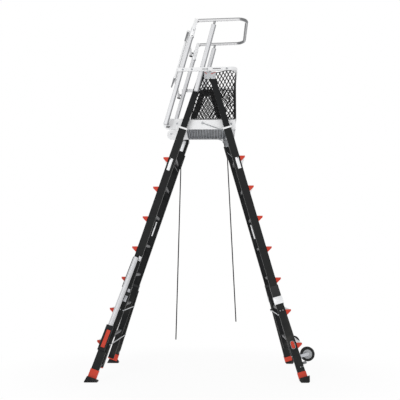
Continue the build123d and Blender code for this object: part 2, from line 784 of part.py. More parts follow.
near_end = cage_y + gate_end_y
with BuildPart() as gate:
    for place in gate_places:
        with BuildSketch(gate_side):
            with Locations((-gate_offset, place)):
                Circle(gate_bar_radius)
        extrude(amount=near_end)
        with BuildSketch(gate_frame.offset(place - gate_eye_height / 2)):
            with Locations((-gate_offset, 0)):
                Circle(gate_eye_radius)
        extrude(amount=gate_eye_height)
    with BuildSketch(gate_frame.offset(gate_places[0])):
        with Locations((-gate_offset, -cage_y - gate_stile_y)):
            Circle(gate_stile_radius)
    extrude(amount=gate_places[1] - gate_places[0])
    for place in gate_places:
        with BuildSketch(gate_frame.offset(place - gate_eye_height)):
            with Locations((-gate_offset, 0)):
                Circle(gate_pin_radius + gate_pin_clearance)
        extrude(amount=2 * gate_eye_height, mode=Mode.SUBTRACT)
        # journal for the latch at the near end
        with BuildSketch(gate_side.offset(near_end)):
            with Locations((-gate_offset, place)):
                Circle(latch_pin_radius)
        extrude(amount=latch_thickness + 2 * latch_gap)
        with BuildSketch(gate_side.offset(near_end + latch_thickness + 2 * latch_gap)):
            with Locations((-gate_offset, place)):
                Circle(latch_width / 2)
        extrude(amount=rail_wall / 2)
label_and_write(gate, "gate")

for place, name in zip(gate_places, ("gate_latch_lower", "gate_latch_upper")):
    with BuildPart() as latch:
        with BuildSketch(gate_side.offset(near_end + latch_gap)):
            with BuildLine():
                Polyline((-gate_offset - latch_width / 2, place + latch_width / 2),
                         (-gate_offset + latch_width / 2, place + latch_width / 2),
                         (-gate_offset + latch_width / 2, place - latch_width / 2),
                         (-gate_offset, place - latch_length), (-gate_offset - latch_width / 2, place - latch_length),
                         close=True)
            make_face()
            with Locations((-gate_offset, place)):
                Circle(latch_pin_radius + gate_pin_clearance, mode=Mode.SUBTRACT)
        extrude(amount=latch_thickness)
    label_and_write(latch, name)

# stay hooks on the side plates, and the pins on the rear fly rails that they hold
stay_z = stay_pin_z + hook_pin_radius + hook_gap + hook_radius
tail_x = stay_pin_x + hook_pin_radius + hook_gap + hook_radius
hook_mid_y = plate_outer_y + hook_gap + hook_radius
for side, name in ((-1, "stay_hook_near"), (1, "stay_hook_far")):
    with BuildPart() as stay_hook:
        with BuildLine() as hook_path:
            FilletPolyline(
                (hinge_x + hook_pivot_x, side * hook_mid_y, hook_pivot_z),
                (hinge_x + tail_x, side * hook_mid_y, stay_z),
                (hinge_x + tail_x, side * hook_mid_y, stay_z - hook_tail),
                radius=2 * hook_radius)
        with BuildSketch(Plane(origin=hook_path.line @ 0, z_dir=hook_path.line % 0)):
            Circle(hook_radius)
        sweep(path=hook_path.line)
        with BuildSketch(elevation.offset(-side * (plate_outer_y + hook_gap / 2))):
            with Locations((hook_pivot_x, hook_pivot_z)):
                Circle(hook_head_radius)
        extrude(amount=-side * hook_head_thickness)
    label_and_write(stay_hook, name)

with BuildPart() as stay_pins:
    with BuildSketch(rear_side.offset(fly_inner_y - stay_plate)):
        with Locations((stay_plate_x, stay_plate_z)):
            RectangleRounded(stay_plate_wide, stay_plate_tall, corner_radius)
    extrude(amount=stay_plate)
    with BuildSketch(elevation.offset(stay_pin_end_y)):
        with Locations((stay_pin_x, stay_pin_z)):
            Circle(hook_pin_radius)
    extrude(amount=fly_inner_y - stay_plate - stay_pin_end_y)
    mirror(about=Plane.XZ)
label_and_write(stay_pins, "stay_pins")

# levelers: guide tube and housing on the leg, shaft with foot, release handle
leveler_z = along_rail(leveler_top_height, leveler_x, front_lean)
leveler_leg_shift = leveler_leg_x - leveler_x
drop_rate = cos(radians(leveler_splay)) * front_cos
floor_run = (leveler_top_height + leveler_leg_shift * front_sin) / drop_rate


def leveler_frame(side: int) -> Plane:
    """Frame at the top of the leveler on a side, z up along its shaft, y outward."""
    y = -side * leveler_y
    start = front_frame.from_local_coords((leveler_x, y, leveler_z))
    up = front_frame.from_local_coords(
        (0, side * sin(radians(leveler_splay)), cos(radians(leveler_splay)))) - Vector(*pin)
    return Plane(origin=start, x_dir=front_frame.x_dir, z_dir=up)


near_leveler = leveler_frame(-1)
with BuildPart() as leveler_tubes:
    with BuildSketch(near_leveler):
        Circle(leveler_tube_radius)
        Circle(leveler_tube_radius - leveler_tube_wall, mode=Mode.SUBTRACT)
    extrude(amount=-leveler_tube_length)
    mirror(about=Plane.XZ)
label_and_write(leveler_tubes, "leveler_tubes")

housing_low = leveler_tube_length + housing_length
with BuildPart() as leveler_housings:
    with BuildSketch(near_leveler.offset(-leveler_tube_length)):
        RectangleRounded(housing_width, housing_depth, 2 * corner_radius)
    extrude(amount=-housing_length)
    chamfer(leveler_housings.faces().sort_by(Axis.Z)[0].edges(), length=corner_radius)
    with BuildSketch(near_leveler.offset(-leveler_tube_length)):
        Circle(shaft_radius + shaft_clearance)
    extrude(amount=-housing_length, mode=Mode.SUBTRACT)
    # ears and pin of the release handle, on the outer face
    pivot_at = -leveler_tube_length - handle_pivot
    for end in (-1, 1):
        with BuildSketch(Plane(
                origin=near_leveler.from_local_coords(
                    (handle_shift + end * (handle_width / 2 + handle_gap), housing_depth / 2, pivot_at)),
                x_dir=near_leveler.y_dir, z_dir=near_leveler.x_dir)):
            with Locations(((handle_thickness + handle_gap) / 2, 0)):
                Rectangle(handle_thickness + handle_gap, 4 * handle_pin_radius)
        extrude(amount=end * handle_ear)
    with BuildSketch(Plane(
            origin=near_leveler.from_local_coords(
                (handle_shift, housing_depth / 2 + handle_gap + handle_thickness / 2, pivot_at)),
            x_dir=near_leveler.y_dir, z_dir=near_leveler.x_dir)):
        Circle(handle_pin_radius)
    extrude(amount=handle_width / 2 + handle_gap, both=True)
    mirror(about=Plane.XZ)

front_rails = rail_sets[0]
front_leg_plane = leg_frame(front_rails)
with BuildPart() as leveler_castings:
    for place in saddle_places:
        with BuildSketch(near_leveler.offset(-place)):
            Rectangle(saddle_width, 4 * leveler_tube_radius)
        extrude(amount=-saddle_length)
    # what lies behind the rail's and leg's outer faces and in the tube and housing is taken away
    with BuildSketch(front_frame.offset(front_rails.bend)):
        with Locations((rail_mid_x, 0)):
            Rectangle(4 * rail_width, 2 * rail_outer_y)
    extrude(amount=-front_rails.bend + front_rails.top, mode=Mode.SUBTRACT)
    with BuildSketch(front_leg_plane.offset(knuckle_up)):
        with Locations((0, -rail_outer_y / 2)):
            Rectangle(4 * rail_width, leg_depth + rail_outer_y)
    extrude(amount=-leg_end(front_rails), mode=Mode.SUBTRACT)
    with BuildSketch(near_leveler):
        with Locations((0, 2 * leveler_tube_radius)):
            Rectangle(2 * housing_width, 4 * leveler_tube_radius)
        Circle(leveler_tube_radius)
    extrude(amount=-leveler_tube_length, mode=Mode.SUBTRACT)
    with BuildSketch(near_leveler.offset(-leveler_tube_length)):
        with Locations((0, leveler_tube_radius)):
            Rectangle(2 * housing_width, housing_depth + 2 * leveler_tube_radius)
    extrude(amount=-housing_length, mode=Mode.SUBTRACT)
    mirror(about=Plane.XZ)
    add(leveler_housings.part)
label_and_write(leveler_castings, "leveler_castings")

for side, name in ((-1, "near"), (1, "far")):
    plane = leveler_frame(side)
    leg_axis = Plane(origin=plane.from_local_coords((leveler_leg_shift, 0, 0)), x_dir=plane.x_dir,
                     z_dir=plane.z_dir)
    floor_point = leg_axis.from_local_coords((0, 0, -floor_run))
    leg_top = housing_low + leveler_leg_gap
    leg_low = floor_run - leveler_leg_end_height / drop_rate
    neck = floor_run - foot_neck_height / drop_rate
    with BuildPart() as leveler_leg:
        with BuildSketch(plane.offset(-shaft_start)):
            Circle(shaft_radius)
        extrude(amount=shaft_start - leg_top)
        with BuildSketch(leg_axis.offset(-leg_top)):
            RectangleRounded(rail_width, leveler_leg_depth, corner_radius)
        extrude(amount=leg_top - leg_low)
        with BuildSketch(leg_axis.offset(-leg_low)):
            Rectangle(rail_width - 2 * leg_wall, leveler_leg_depth - 2 * leg_wall)
        extrude(amount=leg_low - leg_top - leveler_leg_cap, mode=Mode.SUBTRACT)
    label_and_write(leveler_leg, f"leveler_leg_{name}")

    with BuildPart() as foot:
        left = leg_axis.from_local_coords((rail_width / 2 + foot_collar_wall, 0, -neck))
        right = leg_axis.from_local_coords((-rail_width / 2 - foot_collar_wall, 0, -neck))
        with BuildSketch(Plane(origin=floor_point, x_dir=(1, 0, 0), z_dir=(0, -1, 0))):
            with BuildLine():
                Polyline((-foot_toe, 0), (-foot_toe, foot_lip),
                         (left.X - floor_point.X, left.Z + foot_lip),
                         (right.X - floor_point.X, right.Z + foot_lip),
                         (foot_heel, foot_lip), (foot_heel, 0), close=True)
            make_face()
        extrude(amount=foot_width / 2, both=True)
        with BuildSketch(leg_axis.offset(-neck)):
            Rectangle(3 * rail_width, 3 * rail_width)
        extrude(amount=rail_width, mode=Mode.SUBTRACT)
        with BuildSketch(leg_axis.offset(-leg_low)):
            RectangleRounded(rail_width, leveler_leg_depth, corner_radius)
        extrude(amount=rail_width, mode=Mode.SUBTRACT)
    label_and_write(foot, f"front_foot_{name}")

    with BuildPart() as foot_collar:
        with BuildSketch(leg_axis.offset(-neck)):
            RectangleRounded(rail_width + 2 * foot_collar_wall, leveler_leg_depth + 2 * foot_collar_wall,
                             corner_radius)
            RectangleRounded(rail_width, leveler_leg_depth, corner_radius, mode=Mode.SUBTRACT)
        extrude(amount=foot_collar_height)
    label_and_write(foot_collar, f"front_foot_collar_{name}")

    outward = Vector(0, side, 0)
    face_out = plane.y_dir if plane.y_dir.dot(outward) > 0 else plane.y_dir * -1
    handle_at = plane.from_local_coords((handle_shift, 0, -leveler_tube_length - handle_pivot))
    handle_at = handle_at + face_out * (housing_depth / 2 + handle_gap + handle_thickness / 2)
    with BuildPart() as handle:
        # its top is round about the pin, so that it swings clear of the housing
        with BuildSketch(Plane(origin=handle_at, x_dir=plane.z_dir, z_dir=plane.x_dir)):
            Circle(handle_thickness / 2)
            with Locations((-handle_length / 2, 0)):
                Rectangle(handle_length, handle_thickness)
            Circle(handle_pin_radius + gate_pin_clearance, mode=Mode.SUBTRACT)
        extrude(amount=handle_width / 2, both=True)
    label_and_write(handle, f"leveler_handle_{name}")

# rear feet, collars, buttons and wheels
rear_rails = rail_sets[1]
rear_leg_plane = leg_frame(rear_rails)
rear_leg_length = leg_end(rear_rails)
rear_floor = rear_leg_plane.from_local_coords((0, 0, -rear_leg_length))
floor_shift = rear_leg_plane.z_dir * (rear_floor.Z / rear_leg_plane.z_dir.Z)
rear_floor = rear_floor - floor_shift
rear_drop = cos(radians(rear_lean)) * cos(radians(rear_flare))
rear_neck = (bend_height - rear_foot_neck_height) / rear_drop
with BuildPart() as rear_feet:
    with BuildSketch():
        with Locations((rear_floor.X, rear_floor.Y)):
            RectangleRounded(rear_foot_length, rear_foot_width, 2 * corner_radius)
    extrude(amount=2 * rear_foot_neck_height)
    chamfer(rear_feet.faces().sort_by(Axis.Z)[0].edges(), length=rear_foot_chamfer)
    with BuildSketch(rear_leg_plane.offset(-rear_neck)):
        Rectangle(3 * rail_width, 3 * rail_width)
    extrude(amount=2 * rail_width, mode=Mode.SUBTRACT)
    with BuildSketch(rear_leg_plane.offset(-rear_leg_length)):
        RectangleRounded(rail_width, leg_depth, corner_radius)
    extrude(amount=rail_width, mode=Mode.SUBTRACT)
    mirror(about=Plane.XZ)
label_and_write(rear_feet, "rear_feet")

with BuildPart() as rear_foot_collars:
    with BuildSketch(rear_leg_plane.offset(-rear_neck)):
        RectangleRounded(rail_width + 2 * foot_collar_wall, leg_depth + 2 * foot_collar_wall, corner_radius)
        RectangleRounded(rail_width, leg_depth, corner_radius, mode=Mode.SUBTRACT)
    extrude(amount=rear_collar_height)
    mirror(about=Plane.XZ)
label_and_write(rear_foot_collars, "rear_foot_collars")

for side, name in ((-1, "near"), (1, "far")):
    with BuildPart() as button:
        with BuildSketch(Plane(
                origin=rear_leg_plane.from_local_coords(
                    (0, leg_depth / 2 + button_frame_proud + button_proud, -button_place)),
                x_dir=rear_leg_plane.z_dir, z_dir=rear_leg_plane.y_dir)):
            SlotOverall(button_length - 2 * button_clearance, button_width - 2 * button_clearance)
        extrude(amount=-button_depth)
        if side < 0:
            mirror(about=Plane.XZ, mode=Mode.REPLACE)
    label_and_write(button, f"leg_button_{name}")

wheel_height = hinge_height + wheel_x * rear_sin + wheel_z * rear_cos
wheel_y = leg_mid_y(rear_rails, wheel_height)
axle_plane = Plane(origin=rear_frame.from_local_coords((wheel_x, wheel_y, wheel_z)),
                   x_dir=rear_frame.x_dir, z_dir=(0, 1, 0))
cheek_y = wheel_width / 2 + wheel_gap
with BuildPart() as wheel_brackets:
    with BuildSketch(Plane(origin=rear_frame.from_local_coords((rail_outer_x, wheel_y, wheel_z)),
                           x_dir=(0, 1, 0), z_dir=rear_frame.x_dir)):
        Rectangle(2 * (cheek_y + fork_thickness), fork_height)
    extrude(amount=fork_thickness / 2)
    for end in (-1, 1):
        with BuildSketch(axle_plane.offset(end * cheek_y)):
            with Locations(((rail_outer_x - wheel_x) / 2, 0)):
                Rectangle(wheel_x - rail_outer_x, fork_height / 2)
            Circle(fork_height / 4)
        extrude(amount=end * fork_thickness)
    with BuildSketch(axle_plane):
        Circle(axle_radius)
    extrude(amount=cheek_y + 2 * fork_thickness, both=True)
    # room for the tyre where the fork's back plate faces it
    with BuildSketch(axle_plane):
        Circle(wheel_radius + wheel_gap)
        Circle(fork_height / 4, mode=Mode.SUBTRACT)
    extrude(amount=cheek_y, both=True, mode=Mode.SUBTRACT)
    mirror(about=Plane.XZ)
label_and_write(wheel_brackets, "wheel_brackets")

for side, name in ((-1, "near"), (1, "far")):
    plane = Plane(origin=(axle_plane.origin.X, side * wheel_y, axle_plane.origin.Z),
                  x_dir=(1, 0, 0), z_dir=(0, 1, 0))
    with BuildPart() as tyre:
        with BuildSketch(plane):
            Circle(wheel_radius)
            Circle(wheel_hub_radius, mode=Mode.SUBTRACT)
        extrude(amount=wheel_width / 2, both=True)
        fillet(tyre.edges().filter_by(GeomType.CIRCLE).group_by(SortBy.RADIUS)[-1], radius=wheel_width / 4)
    label_and_write(tyre, f"tyre_{name}")
    with BuildPart() as hub:
        with BuildSketch(plane):
            Circle(wheel_hub_radius)
            Circle(wheel_bore, mode=Mode.SUBTRACT)
        extrude(amount=wheel_width / 2, both=True)
        for end in (-1, 1):
            with BuildSketch(plane.offset(end * wheel_width / 2)):
                Circle(wheel_hub_radius - corner_radius)
                Circle(3 * axle_radius, mode=Mode.SUBTRACT)
            extrude(amount=-end * wheel_width / 5, mode=Mode.SUBTRACT)
    label_and_write(hub, f"hub_{name}")

# height locks on the far rails' inner edges, each with its pull cord
for rails in rail_sets:
    lock_z = front_lock_z if rails.name == "front" else rear_lock_z
    far_y = -lock_y if rails.name == "front" else lock_y
    lock_plane = Plane(origin=rails.frame.from_local_coords((lock_x - lock_thickness / 2, far_y, lock_z)),
                       x_dir=(0, 1, 0), z_dir=rails.frame.x_dir)
    up = 1 if lock_plane.y_dir.Z > 0 else -1
    with BuildPart() as lever:
        with BuildSketch(lock_plane):
            with Locations((0, -up * lock_length / 2)):
                SlotOverall(lock_length + 2 * lock_width, lock_width, rotation=90)
            Circle(lock_pin_radius + lock_pin_clearance, mode=Mode.SUBTRACT)
        extrude(amount=lock_thickness)
        lever_end = lock_plane.from_local_coords((0, -up * lock_length, lock_thickness / 2))
        with BuildSketch(Plane.XY.offset(lever_end.Z - cord_eye_drop)):
            with Locations((lever_end.X, lever_end.Y)):
                Circle(lock_eye_radius)
        extrude(amount=cord_eye_drop)
    label_and_write(lever, f"{rails.name}_lock_lever")

    shift, length = front_cord_drop if rails.name == "front" else rear_cord_drop
    top = Vector(lever_end.X, lever_end.Y, lever_end.Z - cord_eye_drop - cord_gap)
    end = Vector(top.X + shift, top.Y, top.Z - length)
    middle = top + (end - top) * 0.5 + Vector(0, cord_bow, 0)
    with BuildPart() as cord:
        with BuildLine() as cord_path:
            FilletPolyline(top, middle, end, radius=length)
        with BuildSketch(Plane(origin=top, z_dir=cord_path.line % 0)):
            Circle(cord_radius)
        sweep(path=cord_path.line)
    print(f"{rails.name} cord: length {cord_path.wire().length:.1f}, bend radius {length:.0f}")
    label_and_write(cord, f"{rails.name}_cord")
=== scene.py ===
"""Looks of the cage platform ladder: finishes, nets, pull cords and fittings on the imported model.

Metres, +Z up, climbing side at -X, wheels at +X, near side at -Y. Every piece stands in the frame
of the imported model, and rides on one of its bodies.
"""

from __future__ import annotations

import logging
import random
from dataclasses import dataclass
from enum import Enum
from math import cos, pi, radians, sin, tan
from typing import Any, Callable, Sequence

import bmesh
import bpy
from mathutils import Matrix, Vector
from mathutils.geometry import intersect_line_line_2d, intersect_point_quad_2d

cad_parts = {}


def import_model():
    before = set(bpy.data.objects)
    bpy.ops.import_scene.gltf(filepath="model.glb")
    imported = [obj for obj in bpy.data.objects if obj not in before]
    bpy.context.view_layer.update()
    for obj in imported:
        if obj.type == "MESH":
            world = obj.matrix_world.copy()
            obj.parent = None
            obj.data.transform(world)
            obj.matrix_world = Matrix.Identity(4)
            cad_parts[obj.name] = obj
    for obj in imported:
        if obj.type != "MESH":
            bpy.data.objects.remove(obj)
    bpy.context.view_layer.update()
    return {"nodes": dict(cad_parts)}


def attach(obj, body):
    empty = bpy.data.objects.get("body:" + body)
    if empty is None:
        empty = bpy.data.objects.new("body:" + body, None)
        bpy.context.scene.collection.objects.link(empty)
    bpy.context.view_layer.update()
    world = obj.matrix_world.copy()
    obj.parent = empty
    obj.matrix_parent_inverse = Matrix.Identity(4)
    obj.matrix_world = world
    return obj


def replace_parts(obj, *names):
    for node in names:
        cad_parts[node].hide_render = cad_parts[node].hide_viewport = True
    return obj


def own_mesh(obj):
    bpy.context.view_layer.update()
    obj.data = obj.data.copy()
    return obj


log = logging.getLogger("cage_platform_ladder")

RGB = tuple[float, float, float]
Size = tuple[float, float, float]
Pair = tuple[float, float]
SIDES = (-1, 1)
WHITE = (1, 1, 1, 1)
# The fold pin, the rails' middle line, the legs' bend and half width, and the cage posts' foot.
PIN_X = 0.05692
PIN_Z = 2.915
RAIL_MIDDLE = 0.049
BEND_Z = 0.822
BEND_Y = 0.297
LEG_HALF = 0.020
POST_FOOT = (-0.3371, 2.438)
POST_LEAN = 15.57


def tint(red: int, green: int, blue: int) -> RGB:
    """Linear colour of a display colour given as 0 to 255."""
    return tuple(
        c / 12.92 if c <= 0.04045 else ((c + 0.055) / 1.055) ** 2.4
        for c in (red / 255, green / 255, blue / 255)
    )


def smooth(share: float) -> float:
    """Smooth step of a share, held between 0 and 1."""
    held = min(1.0, max(0.0, share))
    return held * held * (3.0 - 2.0 * held)


def stand(spot: Sequence[float], along: Vector, out: Vector) -> Matrix:
    """Frame at a point, with x and z in two directions.

    Args:
        spot: the frame's place.
        along: direction of x.
        out: direction of z, square to x.

    Returns:
        The frame, whose y is square to both.
    """
    turn = Matrix((along, out.cross(along), out)).transposed().to_4x4()
    return Matrix.Translation(spot) @ turn


def linked(name: str, data: bpy.types.ID) -> bpy.types.Object:
    """Makes an object and links it to the scene.

    Args:
        name: the object's name.
        data: its mesh, lamp or camera.

    Returns:
        The object.
    """
    made = bpy.data.objects.new(name, data)
    bpy.context.scene.collection.objects.link(made)
    return made


class Grain(Enum):
    """Turn that brings z onto the lines of a drawn or pulled profile."""

    FRONT_RAIL = (0.0, radians(-18.7), 0.0)
    REAR_RAIL = (0.0, radians(15.7), 0.0)
    POST = (0.0, radians(-15.2), 0.0)
    ACROSS = (radians(90), 0.0, 0.0)
    LONG = (0.0, radians(90), 0.0)


def _maths(operation: str, swapped: bool = False) -> Callable[..., "Signal"]:
    """Makes a method of Signal that adds one Math node.

    Args:
        operation: the Math node's operation.
        swapped: whether the signal is the second value.

    Returns:
        The method; its other value is a signal or a number.
    """
    def method(signal: "Signal", other: Any = 0.0) -> "Signal":
        """Adds the Math node on the signal and the other value."""
        first, second = (other, signal) if swapped else (signal, other)
        return signal.graph.node("ShaderNodeMath", {"operation": operation}, {0: first, 1: second})

    return method


class Signal:
    """One number in a node graph; Python maths on it adds Math nodes."""

    __add__ = _maths("ADD")
    __radd__ = _maths("ADD", swapped=True)
    __sub__ = _maths("SUBTRACT")
    __rsub__ = _maths("SUBTRACT", swapped=True)
    __mul__ = _maths("MULTIPLY")
    __rmul__ = _maths("MULTIPLY", swapped=True)
    __truediv__ = _maths("DIVIDE")
    __mod__ = _maths("FLOORED_MODULO")
    __pow__ = _maths("POWER")
    __abs__ = _maths("ABSOLUTE")
    either = _maths("MAXIMUM")
    angle_over = _maths("ARCTAN2")

    def __init__(self, graph: "NodeGraph", socket: bpy.types.NodeSocket) -> None:
        """Keeps the graph and the socket that gives the number."""
        self.graph = graph
        self.socket = socket

    def ramp(self, low: float, high: float) -> "Signal":
        """Smooth step from 0 at low to 1 at high."""
        return self.graph.node(
            "ShaderNodeMapRange",
            {"interpolation_type": "SMOOTHSTEP"},
            {"Value": self, "From Min": low, "From Max": high},
        )

    def zigzag(self, pitch: float) -> "Signal":
        """Wave of a pitch that falls from 1 to 0 and climbs back."""
        return abs(((self / pitch) % 1.0) - 0.5) * 2.0


class NodeGraph:
    """Nodes of one material or world, made through one method."""

    def __init__(self, owner: Any) -> None:
        """Empties a node tree.

        Args:
            owner: the material or world that it belongs to.
        """
        owner.use_nodes = True
        self.tree = owner.node_tree
        self.tree.nodes.clear()

    def add(self, kind: str, settings: dict | None = None, sockets: dict | None = None) -> bpy.types.Node:
        """Adds a node, sets it up and feeds its sockets.

        Args:
            kind: the node's type name.
            settings: its properties, set before the sockets.
            sockets: a value, signal or socket for each input, by name or number.

        Returns:
            The node.
        """
        node = self.tree.nodes.new(kind)
        for name, value in (settings or {}).items():
            setattr(node, name, value)
        for key, value in (sockets or {}).items():
            source = value.socket if isinstance(value, Signal) else value
            if isinstance(source, bpy.types.NodeSocket):
                self.tree.links.new(source, node.inputs[key])
            else:
                node.inputs[key].default_value = source
        return node

    def node(self, kind: str, settings: dict | None = None, sockets: dict | None = None) -> Signal:
        """Adds a node and gives its first output as a signal."""
        return Signal(self, self.add(kind, settings, sockets).outputs[0])

    def place(self) -> bpy.types.NodeSocket:
        """Object coordinates, in metres."""
        return self.add("ShaderNodeTexCoord").outputs["Object"]

    def turned(self, grain: Grain, squeeze: Size) -> bpy.types.NodeSocket:
        """Object coordinates turned so that z follows a grain, then scaled.

        Args:
            grain: direction of the grain.
            squeeze: scale across, across and along the grain.

        Returns:
            The vector's socket.
        """
        vector = self.place()
        for key, value in (("Rotation", grain.value), ("Scale", squeeze)):
            vector = self.add("ShaderNodeMapping", None, {"Vector": vector, key: value}).outputs[0]
        return vector

    def noise(self, scale: float, detail: float = 2.0, vector: Any = None, rough: float = 0.5) -> Signal:
        """Noise from 0 to 1 on a vector, or on Object coordinates."""
        return self.node(
            "ShaderNodeTexNoise",
            {"noise_dimensions": "3D"},
            {"Vector": vector or self.place(), "Scale": scale, "Detail": detail, "Roughness": rough},
        )

    def die_lines(self, grain: Grain) -> Signal:
        """Fine lines that a die leaves along a drawn profile."""
        return self.noise(1.0, 2.0, self.turned(grain, (900.0, 900.0, 3.0)))

    def axes(self, vector: Any = None) -> tuple[Signal, Signal, Signal]:
        """Three parts of a vector, Object coordinates if none is given."""
        parts = self.add("ShaderNodeSeparateXYZ", None, {0: vector or self.place()})
        return tuple(Signal(self, parts.outputs[i]) for i in range(3))

    def facing(self) -> tuple[Signal, Signal, Signal]:
        """Three parts of the surface's own direction."""
        return self.axes(self.add("ShaderNodeNewGeometry").outputs["Normal"])

    def blend(self, share: Any, first: Any, second: Any) -> bpy.types.NodeSocket:
        """Mixes two colours.

        Args:
            share: part of the second colour, 0 to 1.
            first: colour or socket at 0.
            second: colour or socket at 1.

        Returns:
            The mixed colour's socket.
        """
        first, second = ((*c, 1.0) if isinstance(c, tuple) else c for c in (first, second))
        return self.add("ShaderNodeMix", {"data_type": "RGBA"}, {0: share, 6: first, 7: second}).outputs[2]

    def bump(self, height: Signal, distance: float, strength: float) -> bpy.types.NodeSocket:
        """Bumped normal of a height."""
        sockets = {"Height": height, "Distance": distance, "Strength": strength}
        return self.add("ShaderNodeBump", None, sockets).outputs[0]

    def surface(self, colour: Any, roughness: Signal, normal: Any, metal: Any = 0.0, gloss: float = 0.5,
                coat: float = 0.0) -> None:
        """Ends the graph in a Principled shader.

        Args:
            colour: base colour's socket.
            roughness: roughness, 0 to 1.
            normal: bumped normal's socket.
            metal: part of metal, 0 to 1.
            gloss: level of the plain reflection.
            coat: weight of a clear coat.
        """
        shader = self.add("ShaderNodeBsdfPrincipled", None, {
            "Base Color": colour, "Roughness": roughness, "Normal": normal, "Metallic": metal,
            "Specular IOR Level": gloss, "Coat Weight": coat,
        })
        self.add("ShaderNodeOutputMaterial", None, {"Surface": shader.outputs[0]})


@dataclass(frozen=True)
class Finish:
    """A material: its colours, its sheen and the record's slot that it stands for."""

    name: str
    slot: str
    colour: RGB
    second: RGB
    roughness: float = 0.5
    swing: float = 0.1

    def material(self) -> bpy.types.Material:
        """Material of this finish, made once.

        Returns:
            The material.
        """
        made = bpy.data.materials.get(self.name)
        if made is None:
            made = bpy.data.materials.new(self.name)
            self.paint(NodeGraph(made))
        return made

    def paint(self, graph: NodeGraph) -> None:
        """Lays the finish's nodes in a graph."""
        raise NotImplementedError

    def mixed(self, graph: NodeGraph, share: Any) -> bpy.types.NodeSocket:
        """Mix of the finish's two colours."""
        return graph.blend(share, self.colour, self.second)

    def sheen(self, texture: Signal) -> Signal:
        """Roughness that swings with a texture."""
        return self.roughness + (texture - 0.5) * self.swing


@dataclass(frozen=True)
class PultrudedRail(Finish):
    """Glass fibre rail: fibres drawn along it, a satin skin, scuffs and floor dust low down."""

    grain: Grain = Grain.FRONT_RAIL

    def paint(self, graph: NodeGraph) -> None:
        """Lays the fibres, scuffs and dust.

        Args:
            graph: the material\'s nodes.
        """
        fibres = graph.noise(1.0, 3.0, graph.turned(self.grain, (420.0, 420.0, 7.0)))
        clouds = graph.noise(6.0, 3.0)
        scuffs = graph.noise(1.0, 4.0, graph.turned(self.grain, (26.0, 26.0, 3.2)), 0.72).ramp(0.66, 0.78)
        dust = (1.0 - graph.axes()[2].ramp(0.05, 1.1)) * clouds.ramp(0.42, 0.75)
        base = self.mixed(graph, fibres * 0.55 + clouds * 0.35)
        worn = graph.blend(scuffs * 0.16, base, tint(128, 128, 126))
        graph.surface(
            graph.blend(dust * 0.10, worn, tint(160, 156, 148)),
            self.sheen(clouds) + scuffs * 0.12,
            graph.bump(fibres, 0.00012, 0.7),
            gloss=0.08,
        )


@dataclass(frozen=True)
class DrawnAluminium(Finish):
    """Mill aluminium: die lines along the profile, a matt bloom and small handling marks."""

    grain: Grain = Grain.ACROSS
    metal: float = 0.3

    def paint(self, graph: NodeGraph) -> None:
        """Lays the die lines, bloom and marks.

        Args:
            graph: the material\'s nodes.
        """
        lines = graph.die_lines(self.grain)
        bloom = graph.noise(9.0, 4.0)
        marks = graph.noise(1.0, 5.0, graph.turned(self.grain, (60.0, 60.0, 9.0)), 0.75).ramp(0.64, 0.74)
        base = self.mixed(graph, bloom * 0.6 + lines * 0.4)
        graph.surface(
            graph.blend(marks * 0.35, base, tint(120, 122, 126)),
            self.sheen(lines) + bloom * 0.08,
            graph.bump(lines, 0.00006, 0.6),
            metal=self.metal - marks * 0.2,
        )


@dataclass(frozen=True)
class BoxTube(Finish):
    """Leaning box tube of drawn aluminium: die lines, rolled long edges, the back one rubbed grey."""

    foot: Pair = (0.0, 0.0)
    lean: float = 15.0
    half: float = 0.021

    def paint(self, graph: NodeGraph) -> None:
        """Lays the die lines, bloom and rolled edges.

        Args:
            graph: the material\'s nodes.
        """
        s, c = sin(radians(self.lean)), cos(radians(self.lean))
        x, _, z = graph.axes()
        across = x * c - z * s - (self.foot[0] * c - self.foot[1] * s)
        edge = abs(across).ramp(self.half - 0.006, self.half - 0.0005)
        shade = across.ramp(self.half - 0.013, self.half - 0.009) * 0.8 + edge * 0.15
        lines = graph.die_lines(Grain.POST)
        bloom = graph.noise(9.0, 4.0)
        base = self.mixed(graph, bloom * 0.6 + lines * 0.4)
        graph.surface(
            graph.blend(shade, base, tint(132, 133, 136)),
            self.sheen(lines) + bloom * 0.08,
            graph.bump(1.0 - edge + lines * 0.008, 0.003, 0.8),
            metal=0.3 - edge * 0.1,
        )


@dataclass(frozen=True)
class RoundRail(Finish):
    """Bent tube of the guard rail: palest underneath, dulled by hands above and round its back run."""

    def paint(self, graph: NodeGraph) -> None:
        """Lays the dulled upper side and the polished underside.

        Args:
            graph: the material\'s nodes.
        """
        along, _, up = graph.facing()
        turned = abs(along).ramp(0.03, 0.3)
        dulled = up.ramp(-0.2, 0.5).either(turned)
        bloom = graph.noise(14.0, 4.0)
        base = self.mixed(graph, dulled * 0.85 + bloom * 0.1)
        graph.surface(
            graph.blend(turned * 0.75, base, tint(104, 105, 107)),
            self.sheen(bloom),
            graph.bump(graph.noise(160.0, 3.0), 0.00006, 0.5),
            metal=0.3 + dulled * 0.1,
        )


